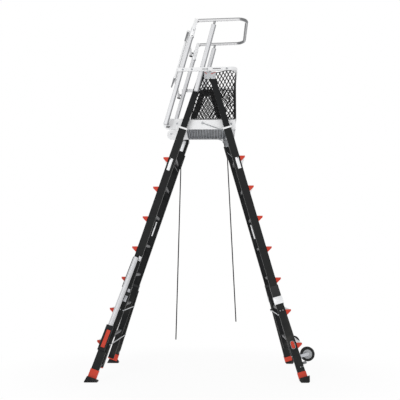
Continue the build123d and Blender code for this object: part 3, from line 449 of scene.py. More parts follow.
@dataclass(frozen=True)
class RibbedTread(Finish):
    """Tread extrusion: fine grip ribs along the top, die lines elsewhere, soles' grey on the ribs."""

    rib: float = 0.0062

    def paint(self, graph: NodeGraph) -> None:
        """Lays the ribs, die lines and wear.

        Args:
            graph: the material\'s nodes.
        """
        up = graph.facing()[2].ramp(0.75, 0.95)
        ribs = graph.axes()[0].zigzag(self.rib).ramp(0.2, 0.8)
        lines = graph.die_lines(Grain.ACROSS)
        bloom = graph.noise(7.0, 4.0)
        trodden = up * bloom.ramp(0.4, 0.8)
        base = self.mixed(graph, bloom * 0.6 + lines * 0.4)
        graph.surface(
            graph.blend(up * (1.0 - ribs) * 0.45 + trodden * 0.15, base, tint(96, 98, 102)),
            self.sheen(lines) + trodden * 0.2,
            graph.bump(ribs * up + lines * 0.05, 0.0012, 0.8),
            metal=0.7 - trodden * 0.3,
        )


@dataclass(frozen=True)
class MouldedPart(Finish):
    """Moulded plastic or painted casting: a fine skin texture, faint flow and rubbed patches."""

    pebble: float = 900.0
    depth: float = 0.00010
    rubbed: RGB = (0.55, 0.50, 0.48)
    coat: float = 0.0
    gloss: float = 0.5

    def paint(self, graph: NodeGraph) -> None:
        """Lays the skin texture, flow and rubbing.

        Args:
            graph: the material\'s nodes.
        """
        flow = graph.noise(11.0, 4.0)
        rubs = graph.noise(38.0, 5.0, None, 0.75).ramp(0.66, 0.80)
        graph.surface(
            graph.blend(rubs * 0.14, self.mixed(graph, flow), self.rubbed),
            self.sheen(flow) + rubs * 0.1,
            graph.bump(graph.noise(self.pebble, 2.0), self.depth, 0.6),
            gloss=self.gloss,
            coat=self.coat,
        )


@dataclass(frozen=True)
class RailBands(Finish):
    """Sleeves and collars on a rail: the bend sleeve's finish below, pale collars at the top."""

    def paint(self, graph: NodeGraph) -> None:
        """Lays the two finishes by height.

        Args:
            graph: the material\'s nodes.
        """
        flow = graph.noise(14.0, 4.0)
        sleeve = graph.blend(flow * 0.06, self.colour, tint(150, 152, 156))
        collar = graph.blend(flow, self.second, tint(228, 229, 230))
        graph.surface(
            graph.blend(graph.axes()[2].ramp(2.0, 2.1), sleeve, collar),
            self.sheen(flow),
            graph.bump(graph.noise(700.0, 2.0), 0.00010, 0.5),
            gloss=0.2,
        )


@dataclass(frozen=True)
class GroovedRubber(Finish):
    """Rubber of the feet: moulded grooves on the sole and sides, and pale floor dust."""

    pitch: float = 0.008

    def paint(self, graph: NodeGraph) -> None:
        """Lays the grooves, grain and dust.

        Args:
            graph: the material\'s nodes.
        """
        along, _, height = graph.axes()
        low = 1.0 - height.ramp(0.010, 0.016)
        grooves = along.zigzag(self.pitch).ramp(0.15, 0.45) * low + (1.0 - low)
        grit = graph.noise(420.0, 3.0)
        clouds = graph.noise(22.0, 4.0)
        dust = clouds.ramp(0.45, 0.75) * (1.0 - height.ramp(0.0, 0.05))
        graph.surface(
            graph.blend(dust * 0.3, self.mixed(graph, clouds), tint(120, 116, 110)),
            self.sheen(grit),
            graph.bump(grooves + grit * 0.08, 0.0012, 0.8),
            gloss=0.15,
        )


@dataclass(frozen=True)
class TyreRubber(Finish):
    """Solid tyre: tread lugs round the rim, moulded sidewall rings and dust."""

    axle: Pair = (0.9674, 0.2375)
    lugs: int = 44
    ring: float = 0.006

    def paint(self, graph: NodeGraph) -> None:
        """Lays the lugs and rings about the axle.

        Args:
            graph: the material\'s nodes.
        """
        x, _, z = graph.axes()
        along = x - self.axle[0]
        height = z - self.axle[1]
        reach = (along * along + height * height) ** 0.5
        beat = height.angle_over(along).zigzag(2 * pi / self.lugs)
        tread = beat.ramp(0.25, 0.5) * reach.ramp(0.0615, 0.0635)
        rings = reach.zigzag(self.ring).ramp(0.1, 0.4) * (1.0 - reach.ramp(0.060, 0.062))
        grit = graph.noise(500.0, 3.0)
        clouds = graph.noise(30.0, 4.0)
        dust = reach.ramp(0.06, 0.065) * clouds.ramp(0.4, 0.8)
        graph.surface(
            graph.blend(dust * 0.25, self.mixed(graph, clouds), tint(110, 106, 100)),
            self.sheen(grit),
            graph.bump(tread + rings * 0.4 + grit * 0.06, 0.0011, 0.9),
            gloss=0.15,
        )


@dataclass(frozen=True)
class TwistedTwine(Finish):
    """Twine and rope: strands twisted round it, and loose fuzz that pales its edges."""

    pitch: float = 0.009

    def paint(self, graph: NodeGraph) -> None:
        """Lays the twist and the fuzz.

        Args:
            graph: the material\'s nodes.
        """
        x, y, z = graph.axes()
        twist = (x + y * 0.7 + z).zigzag(self.pitch)
        fuzz = graph.noise(1500.0, 3.0)
        worn = graph.noise(40.0, 3.0).ramp(0.5, 0.8)
        base = self.mixed(graph, twist * 0.6 + fuzz * 0.4)
        graph.surface(
            graph.blend(worn * 0.2, base, tint(120, 118, 114)),
            self.sheen(fuzz),
            graph.bump(twist.ramp(0.1, 0.9) + fuzz * 0.2, 0.0006, 0.9),
            gloss=0.1,
        )


@dataclass(frozen=True)
class GripDeck(Finish):
    """Platform extrusion: grip ribs on top, drawn ribs below, and boot marks."""

    rib: float = 0.0085
    tooth: float = 0.011
    hollow: float = 0.029

    def paint(self, graph: NodeGraph) -> None:
        """Lays the ribs on the top face, the hollows below and the marks.

        Args:
            graph: the material\'s nodes.
        """
        along, across, _ = graph.axes()
        upward = graph.facing()[2]
        up = upward.ramp(0.7, 0.95)
        below = (0.0 - upward).ramp(0.4, 0.9)
        ribs = across.zigzag(self.rib).ramp(0.25, 0.6)
        teeth = along.zigzag(self.tooth).ramp(0.05, 0.4)
        hollows = along.zigzag(self.hollow).ramp(0.35, 0.65)
        lines = graph.die_lines(Grain.LONG)
        marks = graph.noise(16.0, 5.0, None, 0.7).ramp(0.5, 0.75)
        base = self.mixed(graph, marks * 0.6 + lines * 0.3)
        ribbed = graph.blend(below * hollows * 0.75, base, tint(62, 64, 68))
        graph.surface(
            graph.blend(up * (1.0 - ribs) * 0.4, ribbed, tint(80, 83, 88)),
            self.sheen(lines) + marks * 0.15,
            graph.bump(ribs * teeth * up + lines * 0.05, 0.0013, 0.8),
            metal=0.35 - marks * 0.2,
        )


RAIL_TINTS = (tint(31, 32, 32), tint(42, 43, 43))
FLY_TINTS = (tint(25, 26, 27), tint(36, 37, 38))
TUBE_TINTS = (tint(222, 222, 224), tint(207, 208, 210))
BAND_TINTS = (tint(32, 33, 33), tint(246, 246, 246))
SILVER = tint(224, 224, 225)

FRONT_RAIL = PultrudedRail("front_rail_glass_fibre", "fibreglass", *RAIL_TINTS, 0.48, 0.14)
REAR_RAIL = PultrudedRail("rear_rail_glass_fibre", "fibreglass", *RAIL_TINTS, 0.48, 0.14, Grain.REAR_RAIL)
FRONT_FLY = PultrudedRail("front_fly_glass_fibre", "fly_fibreglass", *FLY_TINTS, 0.46, 0.14)
REAR_FLY = PultrudedRail("rear_fly_glass_fibre", "fly_fibreglass", *FLY_TINTS, 0.46, 0.14, Grain.REAR_RAIL)
TREAD = RibbedTread("tread_aluminium", "aluminium", SILVER, tint(204, 205, 207), 0.36, 0.12)
RUNG = DrawnAluminium("rung_aluminium", "aluminium", tint(52, 53, 55), tint(70, 71, 73), 0.46, 0.12)
CAGE_POST = BoxTube("post_aluminium", "aluminium", *TUBE_TINTS, 0.4, 0.12, POST_FOOT, POST_LEAN, 0.021)
CAGE_UPRIGHT = BoxTube(
    "upright_aluminium", "aluminium", *TUBE_TINTS, 0.4, 0.12, (-0.0481, 2.742), 14.6, 0.023)
GUARD_RAIL = RoundRail("guard_rail_aluminium", "aluminium", SILVER, tint(118, 119, 121), 0.36, 0.12)
CAGE_RAIL = DrawnAluminium(
    "cage_rail_aluminium", "aluminium", tint(234, 234, 235), tint(220, 221, 222), 0.38, 0.12, Grain.LONG)
SIDE_PLATE = DrawnAluminium(
    "side_plate_aluminium", "aluminium", tint(236, 236, 237), tint(224, 225, 226), 0.4, 0.1, Grain.LONG)
LEVELER_TUBE = DrawnAluminium(
    "leveler_tube_aluminium", "aluminium", tint(208, 208, 210), tint(188, 189, 192), 0.32, 0.1,
    Grain.FRONT_RAIL)
BRACKET = DrawnAluminium(
    "bracket_aluminium", "aluminium", tint(196, 198, 202), tint(176, 178, 183), 0.42, 0.1, Grain.LONG)
STEEL = DrawnAluminium("zinc_steel", "steel", tint(176, 178, 180), tint(150, 152, 156), 0.34, 0.14, metal=0.9)
DECK = GripDeck("deck_aluminium", "aluminium", tint(150, 154, 160), tint(122, 126, 132), 0.42, 0.1)
FLAME_PLASTIC = MouldedPart(
    "orange_plastic", "orange", tint(206, 68, 46), tint(184, 54, 38), 0.42, 0.12, 800.0, 0.00010,
    tint(224, 150, 132), gloss=0.25)
BLACK_CASTING = MouldedPart(
    "black_casting", "black_cast", tint(24, 25, 26), tint(34, 35, 36), 0.5, 0.14, 420.0, 0.00022,
    tint(120, 121, 122), gloss=0.15)
GREY_CASTING = MouldedPart(
    "grey_casting", "grey_sheet", tint(112, 114, 117), tint(92, 94, 97), 0.45, 0.12, 420.0, 0.00018,
    tint(190, 191, 193))
LATCH = MouldedPart(
    "latch_grey", "grey_sheet", tint(124, 125, 127), tint(104, 105, 107), 0.42, 0.12, 420.0, 0.00018,
    tint(200, 200, 201))
WHITE_TRIM = MouldedPart(
    "white_trim", "white_trim", tint(232, 232, 231), tint(216, 216, 214), 0.4, 0.1, 600.0, 0.00008,
    tint(190, 189, 186))
PALE_COVER = MouldedPart(
    "hinge_cover_grey", "grey_sheet", tint(196, 198, 200), tint(176, 178, 181), 0.42, 0.1, 500.0, 0.00010,
    tint(224, 225, 226))
GLOSS_PANEL = MouldedPart(
    "gloss_black_film", "fibreglass", tint(24, 24, 25), tint(32, 32, 33), 0.2, 0.1, 300.0, 0.00002,
    tint(90, 90, 90), 0.12, 0.1)
HUB_PLASTIC = MouldedPart(
    "wheel_hub_plastic", "hub", tint(168, 170, 172), tint(150, 152, 155), 0.45, 0.1, 700.0, 0.00010,
    tint(196, 197, 198))
FRONT_BANDS = RailBands("front_bands", "black_cast", *BAND_TINTS, 0.45, 0.12)
REAR_BANDS = RailBands("rear_bands", "black_cast", *BAND_TINTS, 0.45, 0.12)
FOOT_RUBBER = GroovedRubber("foot_rubber", "rubber", tint(27, 27, 28), tint(40, 40, 40), 0.78, 0.2)
TYRE = TyreRubber("tyre_rubber", "tyre", tint(28, 28, 29), tint(42, 42, 42), 0.72, 0.2)
NET_TWINE = TwistedTwine("net_twine", "net", tint(20, 20, 21), tint(38, 38, 39), 0.75, 0.2)
PULL_ROPE = TwistedTwine("pull_rope", "cord", tint(10, 10, 11), tint(20, 20, 22), 0.85, 0.2, 0.012)

FINISHED_NODES: tuple[tuple[Finish, str], ...] = (
    (FRONT_RAIL, "front_outer_rails front_legs leveler_leg_near leveler_leg_far"),
    (REAR_RAIL, "rear_outer_rails rear_legs"),
    (FRONT_FLY, "front_fly_rails"),
    (REAR_FLY, "rear_fly_rails"),
    (FRONT_BANDS, "front_rail_bands"),
    (REAR_BANDS, "rear_rail_bands"),
    (TREAD, "front_treads rear_treads"),
    (RUNG, "front_fly_rungs rear_fly_rungs"),
    (FLAME_PLASTIC, "front_tread_caps rear_tread_caps rear_foot_collars front_foot_collar_near"),
    (FLAME_PLASTIC, "front_foot_collar_far leveler_handle_near leveler_handle_far"),
    (FLAME_PLASTIC, "leg_button_near leg_button_far"),
    (STEEL, "front_tie_rods rear_tie_rods platform_bolts stay_pins stay_hook_near stay_hook_far"),
    (LEVELER_TUBE, "leveler_tubes"),
    (BLACK_CASTING, "leveler_castings front_hinge_castings rear_hinge_castings gate_brackets"),
    (BLACK_CASTING, "front_lock_lever rear_lock_lever"),
    (PALE_COVER, "hinge_covers"),
    (DECK, "deck"),
    (SIDE_PLATE, "toe_boards"),
    (CAGE_POST, "posts"),
    (CAGE_UPRIGHT, "uprights"),
    (GUARD_RAIL, "top_rail"),
    (CAGE_RAIL, "mid_rail gate"),
    (LATCH, "gate_latch_lower gate_latch_upper"),
    (NET_TWINE, "net_near net_far net_back"),
    (BRACKET, "wheel_brackets"),
    (FOOT_RUBBER, "rear_feet front_foot_near front_foot_far"),
    (PULL_ROPE, "front_cord rear_cord"),
    (TYRE, "tyre_near tyre_far"),
    (HUB_PLASTIC, "hub_near hub_far"),
)


class Former:
    """One bmesh that a piece is shaped in, and the step that makes it an object."""

    def __init__(self) -> None:
        """Starts with an empty mesh."""
        self.mesh = bmesh.new()

    def slab(self, place: Matrix, size: Size, edge: float, steps: int = 2) -> None:
        """Adds a block with rounded edges.

        Args:
            place: its middle and directions.
            size: its three sides.
            edge: radius of its edges.
            steps: segments of the rounding.
        """
        block = bmesh.ops.create_cube(self.mesh, size=1.0, matrix=place @ Matrix.Diagonal((*size, 1.0)))
        edges = list({e for v in block["verts"] for e in v.link_edges})
        bmesh.ops.bevel(self.mesh, geom=edges, offset=edge, segments=steps, profile=0.5, affect="EDGES",
                        material=-1, clamp_overlap=True)

    def turned(self, place: Matrix, profile: Sequence[Pair], steps: int = 12) -> None:
        """Adds a turned shape.

        Args:
            place: its foot and directions, with z along its axis.
            profile: radius and height of each point of its outline, from axis to axis.
            steps: segments round the axis.
        """
        lathe = bmesh.new()
        points = [lathe.verts.new((r, 0.0, h)) for r, h in profile]
        lines = [lathe.edges.new(pair) for pair in zip(points, points[1:])]
        bmesh.ops.spin(lathe, geom=points + lines, cent=(0, 0, 0), axis=(0, 0, 1), angle=2 * pi,
                       steps=steps, use_merge=True)
        bmesh.ops.remove_doubles(lathe, verts=lathe.verts[:], dist=1e-6)
        bmesh.ops.transform(lathe, matrix=place, verts=lathe.verts[:])
        self._take(lathe)

    def sweep(self, path: Sequence[Vector], radius: float, sides: int = 8, closed: bool = False) -> None:
        """Adds a round bar along a path, with capped ends or as a ring.

        Args:
            path: points of its middle line.
            radius: its radius.
            sides: segments round it.
            closed: whether the last point joins the first.
        """
        last = len(path) - 1
        bar = bmesh.new()
        rings = []
        for i, point in enumerate(path):
            behind = path[i - 1 if i or closed else 0]
            ahead = path[i + 1 if i < last else 0 if closed else last]
            turn = (ahead - behind).to_track_quat("Z", "Y").to_matrix().to_4x4()
            fresh = bmesh.ops.create_circle(bar, cap_ends=not closed and i in (0, last), radius=radius,
                                            segments=sides, matrix=Matrix.Translation(point) @ turn)
            rings.append([e for e in bar.edges if all(v in fresh["verts"] for v in e.verts)])
        for i in range(0 if closed else 1, len(path)):
            bmesh.ops.bridge_loops(bar, edges=rings[i - 1] + rings[i])
        self._take(bar)

    def bar(self, start: Vector, end: Vector, radius: float, sides: int = 8) -> None:
        """Adds a straight round bar.

        Args:
            start: middle of one end.
            end: middle of the other end.
            radius: its radius.
            sides: segments round it.
        """
        run = end - start
        turn = run.to_track_quat("Z", "Y").to_matrix().to_4x4()
        bmesh.ops.create_cone(self.mesh, cap_ends=True, segments=sides, radius1=radius, radius2=radius,
                              depth=run.length, matrix=Matrix.Translation((start + end) / 2) @ turn)

    def bead(self, place: Matrix, radius: float) -> None:
        """Adds a small bead of a few faces."""
        bmesh.ops.create_uvsphere(self.mesh, u_segments=7, v_segments=5, radius=radius, matrix=place)

    def _take(self, other: bmesh.types.BMesh) -> None:
        """Moves another bmesh's shape into this one, with its faces turned outward.

        Args:
            other: the other bmesh, which is used up.
        """
        bmesh.ops.recalc_face_normals(other, faces=other.faces[:])
        carrier = bpy.data.meshes.new("carrier")
        other.to_mesh(carrier)
        other.free()
        self.mesh.from_mesh(carrier)
        bpy.data.meshes.remove(carrier)

    def piece(self, name: str, body: str, finish: Finish, sharp: float = 38.0) -> bpy.types.Object:
        """Makes the object, dresses it and lets it ride on a body.

        Args:
            name: the piece's name.
            body: the body it rides on.
            finish: its finish.
            sharp: angle in degrees past which an edge stays crisp.

        Returns:
            The finished object.
        """
        data = bpy.data.meshes.new(name)
        self.mesh.to_mesh(data)
        self.mesh.free()
        data.shade_smooth()
        data.set_sharp_from_angle(angle=radians(sharp))
        made = linked(name, data)
        data.materials.append(finish.material())
        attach(made, body)
        log.info("%s rides on %s, %d faces", name, body, len(data.polygons))
        return made


@dataclass(frozen=True)
class RailFrame:
    """Leaning frame of a rail set: outward from the fold pin, across the ladder, up the rail."""

    lean: float
    away: int
    flare: float

    @property
    def slope(self) -> tuple[float, float]:
        """Sine and cosine of the lean."""
        return sin(radians(self.lean)), cos(radians(self.lean))

    @property
    def up(self) -> Vector:
        """Direction up the rail."""
        s, c = self.slope
        return Vector((-self.away * s, 0, c))

    @property
    def out(self) -> Vector:
        """Direction outward from the ladder, square to the rail."""
        s, c = self.slope
        return Vector((self.away * c, 0, s))

    def point(self, outward: float, across: float, along: float) -> Vector:
        """Place of a point of the frame.

        Args:
            outward: distance from the fold pin, square to the rail.
            across: the object's own Y.
            along: distance from the fold pin, up the rail.

        Returns:
            The point.
        """
        s, c = self.slope
        x = PIN_X + self.away * (c * outward - s * along)
        return Vector((x, across, PIN_Z + s * outward + c * along))

    def at(self, outward: float, across: float, along: float) -> Matrix:
        """Frame at a point: x outward, y across, z up the rail."""
        return stand(self.point(outward, across, along), self.out, self.up)

    def facing_side(self, outward: float, across: float, along: float) -> Matrix:
        """Frame at a point whose z looks away from the ladder's middle plane, x up the rail."""
        sideways = Vector((0, 1 if across > 0 else -1, 0))
        return stand(self.point(outward, across, along), self.up, sideways)

    def along(self, outward: float, height: float) -> float:
        """Place along the rail, at a distance outward, that lies at a height."""
        s, c = self.slope
        return (height - PIN_Z - outward * s) / c

    def leg(self, side: int, height: float) -> Matrix:
        """Frame at a height on the middle line of the flared leg of a side.

        Args:
            side: -1 for the near leg, 1 for the far one.
            height: height over the floor, below the bend.

        Returns:
            Frame with x outward, y across and z up the leg.
        """
        s, c = self.slope
        flare = radians(self.flare)
        across = BEND_Y + (BEND_Z - height) / c * tan(flare)
        spot = self.point(RAIL_MIDDLE, side * across, self.along(RAIL_MIDDLE, height))
        up = Vector((-self.away * s * cos(flare), -side * sin(flare), c * cos(flare)))
        return stand(spot, self.out, up)

    def leg_face(self, side: int, outward: float, height: float) -> Matrix:
        """Frame on a leg's outer face.

        Args:
            side: -1 for the near leg, 1 for the far one.
            outward: distance outward, as on the rail.
            height: height over the floor, below the bend.

        Returns:
            Frame whose z looks away from the ladder's middle plane.
        """
        out = side * self.away
        offset = Matrix.Translation((outward - RAIL_MIDDLE, out * LEG_HALF, 0))
        return self.leg(side, height) @ offset @ Matrix.Rotation(radians(-90 * out), 4, "X")


FRONT = RailFrame(18.7, -1, 16.0)
REAR = RailFrame(15.7, 1, 18.0)


def side_frame(x: float, y: float, z: float) -> Matrix:
    """Frame at a point of a side face, x along the ladder, z looking away from its middle plane."""
    return stand((x, y, z), Vector((1, 0, 0)), Vector((0, 1 if y > 0 else -1, 0)))


DOMED_RIVET = ((0.0, 0.0034), (0.0022, 0.0031), (0.0042, 0.0021), (0.0055, 0.0), (0.0, 0.0))
HEX_BOLT = ((0.0, 0.0062), (0.0066, 0.0062), (0.0075, 0.0054), (0.0075, 0.0012), (0.0105, 0.0012),
            (0.0110, 0.0), (0.0, 0.0))
HEX_SIDES = 6


@dataclass
class Studio:
    """Camera, floor, world and lamps."""

    eye: Size = (0.1403, -6.210, 0.9612)
    pitch: float = 6.81
    sideways: float = -0.0254
    lens: float = 55.32
    sensor: float = 36.0
    sight: float = 200.0
    sky: float = 0.66
    floor_radius: float = 40.0
    floor_drop: float = 0.0004
    lamps_look_at: Size = (0, 0, 1.7)

    def build(self) -> None:
        """Sets up the picture: camera, floor, world and lamps."""
        self.camera()
        self.floor()
        self.world()
        self.lamp("key", (-2.6, -5.4, 3.6), 2.6, 64.0)
        self.lamp("fill", (2.8, -5.0, 1.6), 2.8, 24.0)
        self.lamp("back", (0.8, 4.2, 4.2), 3.0, 20.0)
        bpy.context.scene.view_settings.view_transform = "Standard"

    def camera(self) -> None:
        """Places the camera at the photograph's angle."""
        data = bpy.data.cameras.new("camera")
        data.lens = self.lens
        data.sensor_width = self.sensor
        data.clip_end = self.sight
        camera = linked("camera", data)
        tilt = radians(self.pitch)
        ahead = Vector((self.sideways * cos(tilt), (1 - self.sideways**2) ** 0.5 * cos(tilt), sin(tilt)))
        camera.location = self.eye
        camera.rotation_euler = ahead.to_track_quat("-Z", "Y").to_euler()
        bpy.context.scene.camera = camera

    def floor(self) -> None:
        """Lays a pale floor that fades into the background."""
        disc = bmesh.new()
        bmesh.ops.create_circle(disc, cap_ends=True, radius=self.floor_radius, segments=64)
        data = bpy.data.meshes.new("floor")
        disc.to_mesh(data)
        disc.free()
        floor = linked("floor", data)
        floor.location = (0, 0, -self.floor_drop)
        material = bpy.data.materials.new("pale_floor")
        graph = NodeGraph(material)
        x, y, _ = graph.axes()
        away = (x * x + y * y) ** 0.5
        pale = graph.blend(graph.noise(3.0, 3.0) * 0.1, (0.93, 0.93, 0.93), (0.90, 0.90, 0.90))
        matt = graph.add("ShaderNodeBsdfDiffuse", None, {"Color": pale})
        plain = graph.add("ShaderNodeEmission", None, {"Color": WHITE, "Strength": 1.0})
        self.mix(graph, 0.92 + away.ramp(1.2, 2.4) * 0.08, matt, plain, "ShaderNodeOutputMaterial")
        data.materials.append(material)

    def world(self) -> None:
        """White behind the object and in its gloss, a softer sky for its light."""
        world = bpy.data.worlds.new("studio")
        bpy.context.scene.world = world
        graph = NodeGraph(world)
        rays = graph.add("ShaderNodeLightPath").outputs
        seen = Signal(graph, rays["Is Camera Ray"])
        for kind in ("Is Glossy Ray", "Is Transmission Ray"):
            seen = seen.either(Signal(graph, rays[kind]))
        soft, white = (graph.add("ShaderNodeBackground", None, {"Color": WHITE, "Strength": strength})
                       for strength in (self.sky, 1.0))
        self.mix(graph, seen, soft, white, "ShaderNodeOutputWorld")

    @staticmethod
    def mix(graph: NodeGraph, share: Signal, first: bpy.types.Node, second: bpy.types.Node, end: str) -> None:
        """Ends a graph in a mix of two shaders.

        Args:
            graph: the graph.
            share: part of the second shader, 0 to 1.
            first: shader at 0.
            second: shader at 1.
            end: type name of the output node.
        """
        mixed = graph.add("ShaderNodeMixShader", None, {0: share, 1: first.outputs[0], 2: second.outputs[0]})
        graph.add(end, None, {"Surface": mixed.outputs[0]})

    def lamp(self, name: str, place: Size, size: float, power: float) -> None:
        """Adds a soft square lamp that looks at the ladder's middle.

        Args:
            name: the lamp's name.
            place: where it stands.
            size: its side.
            power: its power in watts.
        """
        data = bpy.data.lights.new(name, "AREA")
        data.size = size
        data.energy = power
        lamp = linked(name, data)
        lamp.location = place
        ahead = Vector(self.lamps_look_at) - Vector(place)
        lamp.rotation_euler = ahead.to_track_quat("-Z", "Y").to_euler()


@dataclass
class KnottedNet:
    """Safety net of knotted twine in a hem rope, in one upright plane.

    Its knots sit a little off their places (jitter), and further off in its slack lower back corner
    (crumple). Its back top is drawn out to the mid rail (flare), less so at the end (ease).
    """

    node: str
    corners: tuple[Pair, ...]
    plane: Matrix
    seed: int
    flare: float = 0.0
    wide: float = 0.034
    tall: float = 0.062
    twine: float = 0.0036
    knot: float = 0.0064
    knot_shape: Size = (1.0, 1.25, 0.62)
    hem: float = 0.0038
    hem_steps: int = 12
    corner: float = 0.012
    jitter: float = 0.0012
    lift: float = 0.0005
    crumple: float = 0.0
    slack_from: Pair = (0.15, 2.76)
    slack_run: Pair = (0.05, 0.12)
    flare_from: Pair = (0.13, 2.60)
    flare_run: Pair = (0.16, 0.3477)
    ease: float = 0.35
    ease_from: float = 0.285
    ease_run: float = 0.057
    start: Pair = (0.0, 0.0)
    knot_margin: float = 0.009
    crumple_margin: float = 0.006
    body: str = "front_fly"

    def build(self) -> bpy.types.Object:
        """Ties the net.

        Returns:
            The net's object, which stands for its CAD node.
        """
        former = Former()
        knots = self.knots()
        lie = self.plane.to_3x3().to_4x4() @ Matrix.Diagonal((*self.knot_shape, 1.0))
        for (i, j), spot in knots.items():
            former.bead(Matrix.Translation(self.drawn_out(spot)) @ lie, self.knot)
            for di, dj in ((1, 1), (-1, 1), (1, -1), (-1, -1)):
                other = knots.get((i + di, j + dj))
                if other is None:
                    other = self.on_hem(spot, Vector((di * self.wide / 2, dj * self.tall / 2, 0)))
                elif dj < 0:
                    continue
                if other is not None:
                    former.bar(self.drawn_out(spot), self.drawn_out(other), self.twine, 5)
        former.sweep([self.drawn_out(p) for p in self.border()], self.hem, closed=True)
        net = former.piece(self.node + "_twine", self.body, NET_TWINE, 60.0)
        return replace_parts(net, self.node)

    def drawn_out(self, spot: Vector) -> Vector:
        """Place of a point of the net, drawn out towards the mid rail at its back top.

        Args:
            spot: the point in the flat net.

        Returns:
            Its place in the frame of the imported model.
        """
        back, up = (smooth((spot[k] - self.flare_from[k]) / self.flare_run[k]) for k in range(2))
        ease = 1.0 - self.ease * smooth((spot.x - self.ease_from) / self.ease_run)
        return self.plane @ (spot + Vector((0, 0, self.flare * up * back * ease)))

    def knots(self) -> dict[tuple[int, int], Vector]:
        """Knots of the mesh inside the hem, each a little off its place.

        Returns:
            Place of each knot in the net's plane, by its column and row.
        """
        dice = random.Random(self.seed)
        us, vs = zip(*self.corners)
        middle = Vector(((min(us) + max(us)) / 2, (min(vs) + max(vs)) / 2)) + Vector(self.start)
        columns = int((max(us) - min(us)) / self.wide) + 2
        rows = int((max(vs) - min(vs)) / self.tall) + 2
        found = {}
        for i in range(-columns, columns + 1):
            for j in range(-rows, rows + 1):
                if (i + j) % 2 == 0:
                    continue
                nominal = middle + Vector((i * self.wide / 2, j * self.tall / 2))
                low = smooth((self.slack_from[1] - nominal.y) / self.slack_run[1])
                slack = low * smooth((nominal.x - self.slack_from[0]) / self.slack_run[0])
                aside = Vector((dice.uniform(-1, 1), dice.uniform(-1, 1)))
                lift = dice.uniform(-self.lift, self.lift) * (1.0 + 4.0 * slack)
                if self.inside(nominal, self.knot_margin):
                    spot = nominal + aside * (self.jitter + self.crumple * slack)
                    if not self.inside(spot, self.crumple_margin):
                        spot = nominal + aside * self.jitter
                    found[(i, j)] = Vector((*spot, lift))
        return found

    def inside(self, spot: Vector, margin: float) -> bool:
        """Whether a point lies within the outline.

        Args:
            spot: the point in the flat net.
            margin: how far the outline's corners are drawn in first.

        Returns:
            True inside.
        """
        corners = [Vector(c) for c in self.corners]
        middle = sum(corners, Vector((0, 0))) / len(corners)
        drawn = [c + (middle - c).normalized() * margin for c in corners]
        return intersect_point_quad_2d(spot, *drawn) != 0

    def on_hem(self, spot: Vector, step: Vector) -> Vector | None:
        """Point where a strand from a knot meets the hem.

        Args:
            spot: the knot.
            step: the strand's way to its next knot.

        Returns:
            The meeting point, or None.
        """
        end = spot + step * 1.6
        for i, corner in enumerate(self.corners):
            hit = intersect_line_line_2d(spot.xy, end.xy, Vector(self.corners[i - 1]), Vector(corner))
            if hit is not None:
                return Vector((hit.x, hit.y, 0))
        return None

    def border(self) -> list[Vector]:
        """Hem's middle line, with its corners cut off.

        Returns:
            Points of the line in the flat net.
        """
        line = []
        for i, corner in enumerate(self.corners):
            here = Vector(corner)
            back = (Vector(self.corners[i - 1]) - here).normalized()
            way = Vector(self.corners[(i + 1) % len(self.corners)]) - here
            steps = [self.corner] + [way.length * k / self.hem_steps for k in range(1, self.hem_steps)]
            spots = [here + back * self.corner] + [here + way.normalized() * s for s in steps]
            line += [Vector((*spot, 0)) for spot in spots]
        return line


@dataclass
class PullCord:
    """Cord that hangs from a height lock, and lies flat between the rails of the folded ladder."""

    name: str
    body: str
    route: tuple[Size, ...]
    length: float
    bed: tuple[Vector, Vector]
    diameter: float = 0.010
    braid: float = 0.0008
    flat: float = 0.0002

    def build(self) -> None:
        """Hangs the cord on its route."""
        line = self.line()
        former = Former()
        former.sweep(line, self.diameter / 2 + self.braid, 12)
        rope = former.piece(self.name + "_rope", self.body, PULL_ROPE)
        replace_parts(rope, self.name)
        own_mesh(rope)
        log.info("%s hangs %.2f m", rope.name, self.length)

    def line(self) -> list[Vector]:
        """Smooth line through the route.

        Returns:
            Points of the cord's middle line, from its lock down.
        """
        data = bpy.data.curves.new(self.name + "_line", "CURVE")
        data.dimensions = "3D"
        spline = data.splines.new("NURBS")
        spline.points.add(len(self.route) - 1)
        for point, spot in zip(spline.points, self.route):
            point.co = (*spot, 1.0)
        spline.order_u = 3
        spline.use_endpoint_u = True
        spline.resolution_u = 24
        holder = bpy.data.objects.new(self.name + "_line", data)
        mesh = bpy.data.meshes.new_from_object(holder)
        points = [v.co.copy() for v in mesh.vertices]
        bpy.data.objects.remove(holder)
        bpy.data.curves.remove(data)
        bpy.data.meshes.remove(mesh)
        return points


